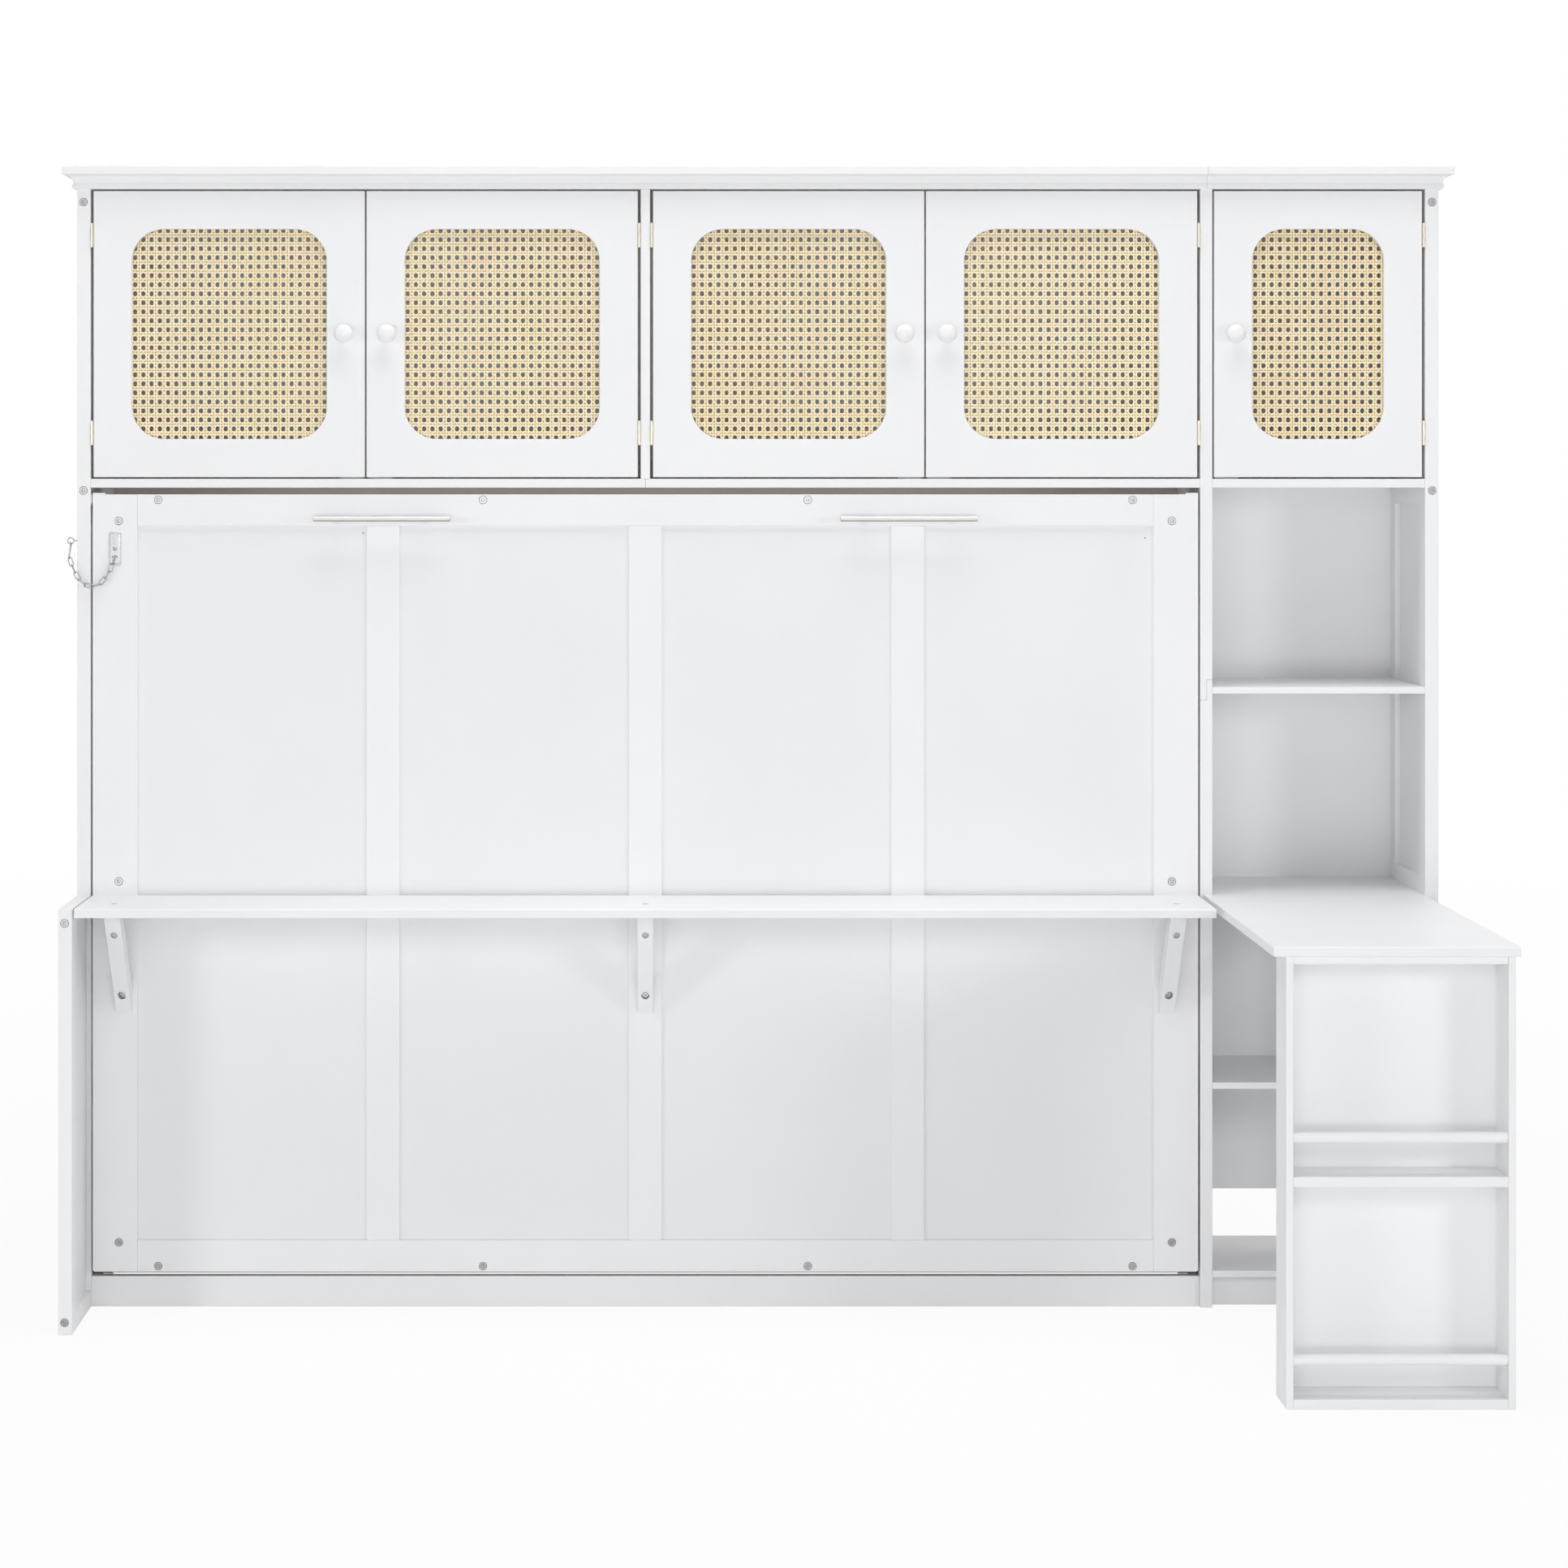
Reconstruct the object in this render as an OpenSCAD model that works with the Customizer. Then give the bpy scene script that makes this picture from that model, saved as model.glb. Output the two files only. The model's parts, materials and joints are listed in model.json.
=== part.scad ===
// Wall bed in a white cabinet: a sideways folding bed whose front carries a desk board,
// three cane-door cupboards above it, and a shelf column with a fixed desk and end rack.
// Millimetres. X runs along the wall, Y from the room to the wall, Z up from the floor.

/* [Carcass] */
// Depth of the upper carcass, wall to front edge
upper_depth = 300; // [300:1:360]
// How far the low part of the left side stands in front of the carcass
lower_reach = 205; // [190:1:208]
// Thickness of the two outer sides
side_t = 24; // [18:1:32]
// Clear width between the left side and the divider
bed_opening_w = 2004; // [1985:1:2400]
// Thickness of the divider between bed and shelf column
divider_t = 22; // [18:1:30]
// Clear width inside the shelf column
column_w = 384; // [320:1:480]
// Height of the sides, floor to underside of the top boards
side_h = 2045; // [1960:1:2300]
// Height of the front base rail
base_h = 55; // [40:1:56]
// Thickness of the base and wall rails
rail_t = 18; // [15:1:22]
// Depth of the base rail's face behind the front edges
base_set_back = 10; // [6:1:20]
// Thickness of the back panels
back_t = 5; // [3:1:8]
// Height of the wall rails
wall_rail_h = 70; // [50:1:100]
// Radius of the wall fixing holes
wall_hole_r = 4; // [2:0.5:6]
// Distance between the wall fixing holes
wall_hole_pitch = 1200; // [600:10:1500]

/* [Frame and panel sides] */
// Width of the stiles and rails that frame each side's sunk field
side_stile_w = 45; // [30:1:70]
// Thickness of the panels held in the sides' frames
side_panel_t = 6; // [4:1:10]

/* [Crown] */
// Height of the crown moulding under the top boards
moulding_h = 25; // [20:1:40]
// Overhang of the top boards past the carcass
crown_over = 24; // [20:1:45]
// Overhang of the moulding's lower bead
crown_bead = 8; // [6:1:12]
// Thickness of the top boards
crown_board_t = 15; // [12:1:20]
// Height of the moulding's lower bead
crown_bead_h = 9; // [6:1:12]
// Step from the top boards' edge to the moulding
crown_step = 4; // [2:1:6]

/* [Cupboards] */
// Height of the underside of the cupboard floor
deck_z = 1481; // [1478:1:1540]
// Thickness of the cupboard floor over the bed
deck_t = 16; // [15:1:22]
// Thickness of the partition between the two wide cupboards
partition_t = 17; // [12:1:20]

/* [Doors] */
// Thickness of the door frames
door_t = 18; // [15:1:22]
// Gap on the hinge side of a door
hinge_gap = 5.2; // [5:0.1:7]
// Gap round the free edges of a door
door_gap = 3; // [2:0.5:4]
// Gap between the two doors of a pair
meeting_gap = 3; // [1.5:0.5:4]
// Width of the frame round the cane window
window_margin = 69; // [50:1:90]
// Corner radius of the cane window
window_r = 58; // [30:1:70]
// Depth of the lip in front of the cane
cane_lip = 10; // [6:1:12]
// Thickness of the cane sheet
cane_t = 1.6; // [1.2:0.1:2.5]
// How far the cane runs under the door frame
cane_lap = 11; // [8:1:16]
// Distance from a door's free edge to its knob
knob_inset = 37; // [28:1:45]
// Diameter of a knob
knob_d = 34; // [28:1:44]
// Height of a knob off its door
knob_h = 30; // [24:1:40]
// Width of the catch behind a door's free edge
catch_w = 42; // [30:1:50]

/* [Door hinges] */
// Height of a hinge
hinge_h = 44; // [36:1:60]
// Distance from a door's end to its hinge
hinge_inset = 58; // [40:1:90]
// Radius of the hinge barrel
barrel_r = 2.2; // [2:0.05:2.3]
// Thickness of a hinge leaf
leaf_t = 1; // [0.8:0.1:1.3]
// Distance of the hinge pin in front of the door face
pin_proud = 1.5; // [1.2:0.1:3]

/* [Bed front] */
// Gap at each side of the bed front
bed_gap = 3.5; // [3.5:0.5:5]
// Height of the bed front's lower edge
bed_z = 65; // [62:1:80]
// Gap between the bed front and the cupboard floor
bed_top_gap = 12; // [10:1:20]
// Thickness of the bed front's frame
face_t = 18; // [15:1:22]
// Width of the outer stiles
face_stile_w = 81; // [60:1:100]
// Height of the top and bottom rails
face_rail_w = 57; // [40:1:80]
// Width of the three upright mullions
mullion_w = 60; // [40:1:80]
// Thickness of the infill panels
infill_t = 6; // [4:1:9]
// Depth of the infill behind the frame's face
infill_set_back = 5; // [3:1:8]
// Radius of the bed front's lower corners
face_corner_r = 5; // [2:0.5:8]
// Width of the pale plates on the bed front's top corners
top_plate_w = 23; // [15:1:30]

/* [Bed box] */
// Depth of the bed box behind the front
box_depth = 132; // [110:1:134]
// Width of the narrow flanges of the bed box's channels
bed_rail_t = 15; // [15:1:25]
// Thickness of the steel of the bed box's channels
channel_wall = 2.5; // [2:0.5:4]
// Gap between the cabinet and the bed box's end rails, where the lift sits
lift_gap = 32; // [32:1:42]
// Side of the square ledger strips
ledger = 22; // [18:1:30]
// Thickness of the slats
slat_t = 15; // [12:1:20]
// Width of a slat
slat_w = 70; // [50:1:90]
// Number of slats
slat_count = 12; // [8:1:16]

/* [Fold-down desk] */
// Height of the desk surfaces
desk_h = 745; // [700:1:780]
// Thickness of the desk boards
desk_t = 16; // [15:1:22]
// How far the braces reach out under the desk board
brace_reach = 150; // [120:1:180]
// How far the braces drop under the desk board
brace_drop = 195; // [150:1:220]
// Width of a brace
brace_w = 28; // [22:1:40]
// Thickness of a brace across its slope
brace_t = 26; // [20:1:32]
// Distance of the outer braces from the ends
brace_inset = 58; // [40:1:70]

/* [Pull handles] */
// Length of a handle bar
handle_l = 246; // [200:1:320]
// Diameter of a handle bar
handle_d = 10; // [8:0.5:14]
// Distance between the two posts of a handle
handle_pitch = 160; // [96:1:192]
// Clear height under a handle bar
handle_clear = 26; // [22:1:40]
// Distance of the handles below the top of the bed front
handle_drop = 44; // [30:1:50]

/* [Shelf column] */
// Thickness of the shelves
shelf_t = 12; // [10:1:18]
// Height of the upper shelf's top
upper_shelf_z = 1121; // [900:1:1300]
// Height of the lower shelf's top
lower_shelf_z = 407; // [250:1:500]
// Height of the lower edge of the back panel
back_open_z = 156; // [100:1:220]
// Depth of the toe rail behind the front edges
toe_set_back = 24; // [10:1:40]

/* [Fixed desk and rack] */
// How far the desk reaches in front of the carcass
desk_reach = 700; // [500:1:800]
// How far the desk laps over the divider's front edge
desk_lap = 14; // [6:1:18]
// Depth of the end rack
rack_depth = 90; // [70:1:140]
// Thickness of the rack's boards
rack_t = 12; // [10:1:18]
// Distance of the rack behind the desk's front edge
rack_set_back = 5; // [2:1:20]
// Distance of the rack inside the desk's ends
rack_inset = 7; // [3:1:14]
// Height of the rack's middle shelf
rack_shelf_z = 374; // [250:1:450]
// Thickness of the rack's shelves
rack_shelf_t = 16; // [10:1:20]
// Height of the strip under the desk at the top of the rack
rack_strip_h = 13; // [10:1:20]
// Diameter of the retaining rods
rod_d = 18; // [10:1:22]
// Height of each rod's middle above its shelf
rod_up = 62; // [40:1:90]

/* [Pivot and lift] */
// Distance of the pivot behind the bed front's face
pivot_in = 70; // [60:1:72]
// Diameter of the pivot pins
pivot_d = 16; // [10:1:18]
// Thickness of the steel brackets
steel_t = 3; // [2:0.5:4]
// Width of the foot flange on each steel bracket
flange_w = 28; // [20:1:30]
// Radial running clearance of pins in their bores
run_clear = 0.05; // [0.03:0.01:0.1]
// Height of the lift's stud on the bed above the pivot
lift_arm = 60; // [50:1:70]
// Height of the lift's upper stud above the pivot
lift_rise = 150; // [140:1:170]
// Distance of the lift's upper stud behind the pivot
lift_back = 160; // [140:1:165]
// Distance of the lift's stud on the bed in front of the pivot
lift_fore = 20; // [10:1:30]
// Diameter of the lift's cylinder
cylinder_d = 22; // [18:1:24]
// Diameter of the lift's rod
lift_rod_d = 10; // [8:1:12]

/* [Safety chain] */
// Diameter of the chain's wire
wire_d = 2; // [1.6:0.1:2.1]
// Outer length of a link
link_l = 19; // [17:1:20]
// Outer width of a link
link_w = 9; // [8.6:0.1:11]
// Number of links
link_count = 10; // [8:2:10]

/* [Bolts and seams] */
// Seam left between two boards that butt
seam = 0.3; // [0.2:0.1:0.6]
// Diameter of a bolt head
bolt_head_d = 14; // [10:0.5:14]
// Diameter of a bolt shank
bolt_d = 6; // [4:0.5:8]
// Clearance round a bolt
bolt_clear = 0.25; // [0.1:0.05:0.5]

/* [Hidden] */
$fn = 48;
fine = 0.01;
white = "white";
steel = "silver";
black = "dimgray";
brass = "khaki";

// Places along the wall, measured from the middle of the carcass
carcass_w = side_t + bed_opening_w + divider_t + column_w + side_t;
left_x = -carcass_w / 2;
bed_x = left_x + side_t;
divider_x = bed_x + bed_opening_w;
column_x = divider_x + divider_t;
right_x = column_x + column_w;
bed_mid_x = bed_x + bed_opening_w / 2;

// Places from room to wall, measured from the middle of the whole depth
wall_y = (upper_depth + desk_reach) / 2;
front_y = wall_y - upper_depth;
inner_back_y = wall_y - back_t;

// Bed front and pivot: opened, the desk board stands just off the floor as the bed's foot
floor_gap = 1;
bed_w = bed_opening_w - 2 * bed_gap;
bed_h = deck_z - bed_top_gap - bed_z;
bed_top_z = bed_z + bed_h;
pivot_y = front_y + pivot_in;
pivot_z = pivot_in + lower_reach + floor_gap;
face_inner_x = bed_x + bed_gap + face_stile_w;
face_inner_w = bed_w - 2 * face_stile_w;
bay_w = (face_inner_w - 3 * mullion_w) / 4;
box_y = front_y + face_t;
box_x = bed_x + lift_gap;
box_w = bed_opening_w - 2 * lift_gap;

// Plate in the Y-Z plane, its outline given as [y, z] points
module yz_plate(x, thickness, points) {
    translate([x, 0, 0])
        rotate([90, 0, 90])
            linear_extrude(thickness)
                polygon(points);
}

// Plate in the X-Y plane
module xy_plate(z, thickness, points) {
    translate([0, 0, z])
        linear_extrude(thickness)
            polygon(points);
}

module block(x, y, z, w, d, h) {
    translate([x, y, z])
        cube([w, d, h]);
}

// Round bar along X, Y or Z, from a point
module bar_x(x, y, z, r, length) {
    translate([x, y, z])
        rotate([0, 90, 0])
            cylinder(r = r, h = length);
}

module bar_y(x, y, z, r, length) {
    translate([x, y, z])
        rotate([-90, 0, 0])
            cylinder(r = r, h = length);
}

module bar_z(x, y, z, r, length) {
    translate([x, y, z])
        cylinder(r = r, h = length);
}

// Bolts through a face that looks into the room: [x, y of the face, z, shank length]
cabinet_shank_l = 38;
bed_shank_l = 24;
bolt_head_t = 4;
bolt_sunk = 3.5;
edge_bolt_x = 11;
top_bolt_drop = 48;
deck_bolt_drop = 5;
low_bolt_z = 22;
desk_bolt_drop = 25;
cabinet_bolt_places = [
    [left_x + edge_bolt_x, front_y, side_h - top_bolt_drop, cabinet_shank_l],
    [left_x + edge_bolt_x, front_y, deck_z - deck_bolt_drop, cabinet_shank_l],
    [left_x + edge_bolt_x, front_y - lower_reach, desk_h - desk_bolt_drop,
     cabinet_shank_l],
    [left_x + edge_bolt_x, front_y - lower_reach, low_bolt_z, cabinet_shank_l],
    [right_x + side_t - edge_bolt_x, front_y, side_h - top_bolt_drop, cabinet_shank_l],
    [right_x + side_t - edge_bolt_x, front_y, deck_z - deck_bolt_drop, cabinet_shank_l]
];
long_bolt_inset = 122;
long_bolt_edge = 10;
end_bolt_drop = 48;
end_bolt_rise = 53;
end_bolt_x = 51;
long_bolt_pitch = (bed_opening_w - 2 * long_bolt_inset) / 3;
long_bolts = [
    for (z = [bed_z + long_bolt_edge, bed_top_z - long_bolt_edge], i = [0:3])
        [bed_x + long_bolt_inset + i * long_bolt_pitch, front_y, z, bed_shank_l]
];
end_bolts = [
    for (x = [bed_x + end_bolt_x, divider_x - end_bolt_x],
         z = [bed_z + end_bolt_rise, desk_h + desk_bolt_drop, bed_top_z - end_bolt_drop])
        [x, front_y, z, bed_shank_l]
];
bed_bolt_places = concat(long_bolts, end_bolts);
brace_xs = [
    bed_x + bed_gap + brace_inset, bed_mid_x, divider_x - bed_gap - brace_inset
];
brace_low_z = desk_h - desk_t - brace_drop;
brace_bolt_rise = 35;
brace_bolt_reach = 14;
brace_bolts = [
    for (x = brace_xs)
        [x, front_y - brace_bolt_reach, brace_low_z + brace_bolt_rise,
         bed_shank_l + brace_bolt_reach]
];

// Hexagon socket of a bolt across its corners, as a share of the head's diameter
socket_share = 0.45;

module bolt(place) {
    socket_d = bolt_head_d * socket_share;
    translate([place[0], place[1] + bolt_sunk - bolt_head_t, place[2]])
        rotate([-90, 0, 0])
            difference() {
                union() {
                    cylinder(d = bolt_head_d, h = bolt_head_t);
                    cylinder(d = bolt_d, h = bolt_head_t + place[3]);
                }
                translate([0, 0, -1])
                    cylinder(d = socket_d, h = bolt_head_t, $fn = 6);
            }
}

// The hole that a bolt needs: a counterbore for its head and a way for its shank
module bolt_hole(place) {
    bar_y(place[0], place[1] - 1, place[2], bolt_head_d / 2 + bolt_clear, bolt_sunk + 1);
    bar_y(place[0], place[1], place[2], bolt_d / 2 + bolt_clear,
          bolt_sunk + place[3] + bolt_clear);
}

// ---- Cabinet ----

// The openings in each side's frame as [front, back, bottom, top]. The left side's lowest
// field ends at the bed front, because the pivot and the lift behind it need solid board.
side_rail_w = 30;
low_y = front_y - lower_reach;
left_fields = [
    [low_y + side_stile_w, front_y + base_set_back, side_rail_w, desk_h - side_rail_w],
    [front_y + side_stile_w, wall_y - side_stile_w, desk_h + side_rail_w, deck_z - side_rail_w],
    [front_y + side_stile_w, wall_y - side_stile_w, deck_z + side_rail_w, side_h - side_stile_w]
];
right_fields = [
    [front_y + side_stile_w, wall_y - side_stile_w, base_h + side_rail_w, desk_h - side_rail_w],
    left_fields[1],
    left_fields[2]
];

module side_windows(x, fields) {
    for (f = fields)
        block(x - 1, f[0], f[2], side_t + 2, f[1] - f[0], f[3] - f[2]);
}

module side_panels() {
    inset = (side_t - side_panel_t) / 2;
    color(white) {
        for (f = left_fields)
            block(left_x + inset, f[0], f[2], side_panel_t, f[1] - f[0], f[3] - f[2]);
        for (f = right_fields)
            block(right_x + inset, f[0], f[2], side_panel_t, f[1] - f[0], f[3] - f[2]);
    }
}

module left_side_frame() {
    color(white)
        difference() {
            yz_plate(left_x, side_t, [
                [low_y, 0], [wall_y, 0], [wall_y, side_h],
                [front_y, side_h], [front_y, desk_h], [low_y, desk_h]
            ]);
            side_windows(left_x, left_fields);
            for (place = cabinet_bolt_places)
                bolt_hole(place);
            chain_eye_hole();
            pin_holes();
        }
}

module right_side_frame() {
    color(white)
        difference() {
            block(right_x, front_y, 0, side_t, upper_depth, side_h);
            side_windows(right_x, right_fields);
            for (place = cabinet_bolt_places)
                bolt_hole(place);
        }
}

// Half-lap joint where the divider's two boards meet
lap_low_z = 1097;
lap_high_z = 1134;
lap_share = 0.55;
lap_x = divider_x + divider_t * lap_share;

module divider_boards() {
    color(white) {
        difference() {
            divider_board([
                [divider_x, 0], [column_x, 0], [column_x, lap_high_z],
                [lap_x, lap_high_z], [lap_x, lap_low_z], [divider_x, lap_low_z]
            ]);
            pin_holes();
        }
        divider_board([
            [divider_x, lap_low_z + seam], [lap_x - seam, lap_low_z + seam],
            [lap_x - seam, lap_high_z + seam], [column_x, lap_high_z + seam],
            [column_x, side_h], [divider_x, side_h]
        ]);
    }
}

// Board of the carcass's depth, its outline given as [x, z] points
module divider_board(points) {
    translate([0, wall_y, 0])
        rotate([90, 0, 0])
            linear_extrude(upper_depth)
                polygon(points);
}

module front_rails() {
    top_rail_z = side_h - moulding_h;
    half_w = bed_opening_w / 2;
    color(white) {
        block(bed_x, front_y + base_set_back, 0, bed_opening_w, rail_t, base_h);
        block(column_x, front_y + toe_set_back, 0, column_w, rail_t, base_h);
        block(bed_x, front_y, top_rail_z, half_w - seam / 2, rail_t, moulding_h);
        block(bed_mid_x + seam / 2, front_y, top_rail_z, half_w - seam / 2, rail_t, moulding_h);
        block(column_x, front_y, top_rail_z, column_w, rail_t, moulding_h);
    }
}

module wall_rails() {
    rail_y = wall_y - rail_t;
    color(white) {
        difference() {
            block(bed_x, rail_y, deck_z - wall_rail_h, bed_opening_w, rail_t, wall_rail_h);
            for (side = [-1, 1])
                bar_y(bed_mid_x + side * wall_hole_pitch / 2, rail_y - 1,
                      deck_z - wall_rail_h / 2, wall_hole_r, rail_t + 2);
        }
        block(bed_x, rail_y, 0, bed_opening_w, rail_t, base_h);
    }
}

module cupboard_floors() {
    board_d = upper_depth - back_t;
    half_w = (bed_opening_w - seam) / 2;
    color(white) {
        block(bed_x, front_y, deck_z, half_w, board_d, deck_t);
        block(bed_mid_x + seam / 2, front_y, deck_z, half_w, board_d, deck_t);
        block(column_x, front_y, deck_z, column_w, board_d, deck_t);
    }
}

module cupboard_partition() {
    x = bed_mid_x - partition_t / 2;
    floor_z = deck_z + deck_t;
    color(white)
        difference() {
            block(x, front_y, floor_z, partition_t, upper_depth - back_t, side_h - floor_z);
            block(x - 1, front_y - 1, side_h - moulding_h, partition_t + 2, rail_t + 1,
                  moulding_h + 1);
        }
}

module back_panels() {
    color(white) {
        block(bed_x, inner_back_y, deck_z, bed_opening_w, back_t, side_h - deck_z);
        block(column_x, inner_back_y, back_open_z, column_w, back_t, side_h - back_open_z);
        block(rack_inner_x, rack_y + rack_depth - back_t, 0, rack_inner_w, back_t, rack_h);
    }
}

// The tops overhang the carcass; they meet over the divider
top_seam_x = divider_x + divider_t / 2;

module top_boards() {
    y = front_y - crown_over;
    x_end = right_x + side_t + crown_over;
    d = upper_depth + crown_over;
    color(white) {
        block(left_x - crown_over, y, side_h, top_seam_x - seam / 2 - left_x + crown_over, d,
              crown_board_t);
        block(top_seam_x + seam / 2, y, side_h, x_end - top_seam_x - seam / 2, d, crown_board_t);
    }
}

// Moulding section as [overhang, height] points: a round-edged bead, then a cove
cove_base = crown_bead - 2;
cove_out = crown_over - crown_step - cove_base;
cove_up = moulding_h - crown_bead_h;
bead_edge = 3;
moulding_section = concat(
    [[0, 0], [crown_bead - bead_edge, 0]],
    [for (a = [15:15:90]) [
        crown_bead - bead_edge + bead_edge * sin(a),
        bead_edge - bead_edge * cos(a)
    ]],
    [[crown_bead, crown_bead_h]],
    [for (a = [0:10:90]) [
        cove_base + cove_out * (1 - cos(a)),
        crown_bead_h + cove_up * sin(a)
    ]],
    [[0, moulding_h]]
);

// Moulding run along X, its section standing out to the front; plan trims it to its mitres
module front_moulding(plan) {
    intersection() {
        yz_plate(left_x - crown_over, carcass_w + 2 * crown_over,
                 [for (p = moulding_section) [front_y - p[0], side_h - moulding_h + p[1]]]);
        xy_plate(side_h - moulding_h - 1, moulding_h + 2, plan);
    }
}

module side_moulding(face_x, out, plan) {
    intersection() {
        translate([0, wall_y, 0])
            rotate([90, 0, 0])
                linear_extrude(upper_depth + crown_over)
                    polygon([for (p = moulding_section) [
                        face_x + out * p[0], side_h - moulding_h + p[1]
                    ]]);
        xy_plate(side_h - moulding_h - 1, moulding_h + 2, plan);
    }
}

module crown_mouldings() {
    out = crown_over;
    right_face = right_x + side_t;
    color(white) {
        front_moulding([
            [left_x + seam, front_y], [left_x + seam - out, front_y - out],
            [top_seam_x - seam / 2, front_y - out], [top_seam_x - seam / 2, front_y]
        ]);
        front_moulding([
            [top_seam_x + seam / 2, front_y], [top_seam_x + seam / 2, front_y - out],
            [right_face - seam + out, front_y - out], [right_face - seam, front_y]
        ]);
        side_moulding(left_x, -1, [
            [left_x, front_y], [left_x, wall_y], [left_x - out, wall_y],
            [left_x - out, front_y - out]
        ]);
        side_moulding(right_face, 1, [
            [right_face, front_y], [right_face + out, front_y - out],
            [right_face + out, wall_y], [right_face, wall_y]
        ]);
    }
}

module column_shelves() {
    board_d = upper_depth - back_t;
    color(white) {
        block(column_x, front_y, upper_shelf_z - shelf_t, column_w, board_d, shelf_t);
        block(column_x, front_y, lower_shelf_z - shelf_t, column_w, board_d, shelf_t);
        block(column_x, front_y, base_h, column_w, board_d, shelf_t);
    }
}

// ---- Fixed desk ----

desk_front_y = front_y - desk_reach;
desk_left_x = column_x - desk_lap;
desk_edge_r = 3;
rack_x = desk_left_x + desk_lap + rack_inset;
rack_w = right_x - rack_inset - rack_x;
rack_y = desk_front_y + rack_set_back;
rack_h = desk_h - desk_t;
rack_inner_x = rack_x + rack_t;
rack_inner_w = rack_w - 2 * rack_t;

module desk_top() {
    color(white)
        difference() {
            xy_plate(desk_h - desk_t, desk_t, [
                [desk_left_x, desk_front_y], [right_x, desk_front_y], [right_x, inner_back_y],
                [column_x, inner_back_y], [column_x, front_y], [desk_left_x, front_y]
            ]);
            edge_round_cut();
        }
}

// Takes the sharp upper edge off the desk's front
module edge_round_cut() {
    difference() {
        block(desk_left_x - 1, desk_front_y - 1, desk_h - desk_edge_r,
              right_x - desk_left_x + 2, desk_edge_r + 1, desk_edge_r + 1);
        bar_x(desk_left_x - 2, desk_front_y + desk_edge_r, desk_h - desk_edge_r, desk_edge_r,
              right_x - desk_left_x + 4);
    }
}

module rack_sides() {
    color(white)
        for (x = [rack_x, rack_x + rack_w - rack_t])
            difference() {
                block(x, rack_y, 0, rack_t, rack_depth, rack_h);
                rod_holes();
            }
}

module rack_shelves() {
    board_d = rack_depth - back_t;
    rack_strip_in = 2;
    rack_strip_d = 18;
    color(white) {
        block(rack_inner_x, rack_y, 0, rack_inner_w, board_d, rack_shelf_t);
        block(rack_inner_x, rack_y, rack_shelf_z - rack_shelf_t, rack_inner_w, board_d,
              rack_shelf_t);
        block(rack_inner_x, rack_y + rack_strip_in, rack_h - rack_strip_h, rack_inner_w,
              rack_strip_d, rack_strip_h);
    }
}

rod_y = rack_y + rod_d / 2 + 2;
rod_seat = 6;
rod_zs = [rack_shelf_t + rod_up, rack_shelf_z + rod_up];

module rod_holes() {
    for (z = rod_zs)
        bar_x(rack_inner_x - rod_seat, rod_y, z, rod_d / 2 + bolt_clear,
              rack_inner_w + 2 * rod_seat);
}

module rack_rods() {
    color(white)
        for (z = rod_zs)
            bar_x(rack_inner_x - rod_seat, rod_y, z, rod_d / 2, rack_inner_w + 2 * rod_seat);
}

module cabinet_bolts() {
    color(steel)
        for (place = cabinet_bolt_places)
            bolt(place);
}

// ---- Pivot ----

// Both ends of the bed are alike: children are drawn at the left and mirrored to the right
module both_ends() {
    children();
    translate([2 * bed_mid_x, 0, 0])
        mirror([1, 0, 0])
            children();
}

bracket_top_z = 330;
bracket_gap = 2;
bracket_y = front_y + base_set_back + rail_t + bracket_gap;
bracket_d = 100;
collar_r = 11;
pin_seat = 10;
bush_r = pivot_d / 2 + 3;
flange_r = 14;
flange_t = 1.5;
bed_plate_x = box_x - steel_t;
hub_r = bush_r + 3;
hub_l = steel_t + bed_rail_t;
hub_clear = 0.2;

module pin_holes() {
    both_ends()
        bar_x(bed_x - pin_seat - bolt_clear, pivot_y, pivot_z, pivot_d / 2 + run_clear,
              pin_seat + 1);
}

module steel_brackets() {
    stud_end_x = lift_x + eye_w / 2 + bolt_clear;
    color(black)
        both_ends() {
            difference() {
                union() {
                    block(bed_x, bracket_y, 0, steel_t, bracket_d, bracket_top_z);
                    block(bed_x, bracket_y, 0, flange_w, bracket_d, steel_t);
                }
                bar_x(bed_x - 1, pivot_y, pivot_z, pivot_d / 2 + run_clear, steel_t + 2);
            }
            union() {
                block(bed_x, upper_stud_y - stud_plate_w / 2, upper_stud_z - stud_plate_h / 2,
                      steel_t, stud_plate_w, stud_plate_h);
                bar_x(bed_x, upper_stud_y, upper_stud_z, stud_r, stud_end_x - bed_x);
                bar_x(stud_end_x, upper_stud_y, upper_stud_z, stud_r + 2, 2);
            }
        }
}

module pivot_pins() {
    collar_clear = 0.3;
    collar_l = bed_plate_x - flange_t - fine - bed_x - steel_t - collar_clear;
    color(steel)
        both_ends() {
            bar_x(bed_x - pin_seat, pivot_y, pivot_z, pivot_d / 2,
                  pin_seat + lift_gap + bed_rail_t - 2);
            bar_x(bed_x + steel_t, pivot_y, pivot_z, collar_r, collar_l);
        }
}

module pivot_bushes() {
    color(brass)
        both_ends()
            difference() {
                union() {
                    bar_x(bed_plate_x, pivot_y, pivot_z, bush_r, hub_l);
                    bar_x(bed_plate_x - flange_t, pivot_y, pivot_z, flange_r, flange_t);
                }
                bar_x(bed_plate_x - flange_t - 1, pivot_y, pivot_z, pivot_d / 2 + run_clear,
                      hub_l + flange_t + 2);
            }
}

// ---- Gas lift: a cylinder hung on the cabinet and a rod that ends at the bed's stud ----

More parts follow.
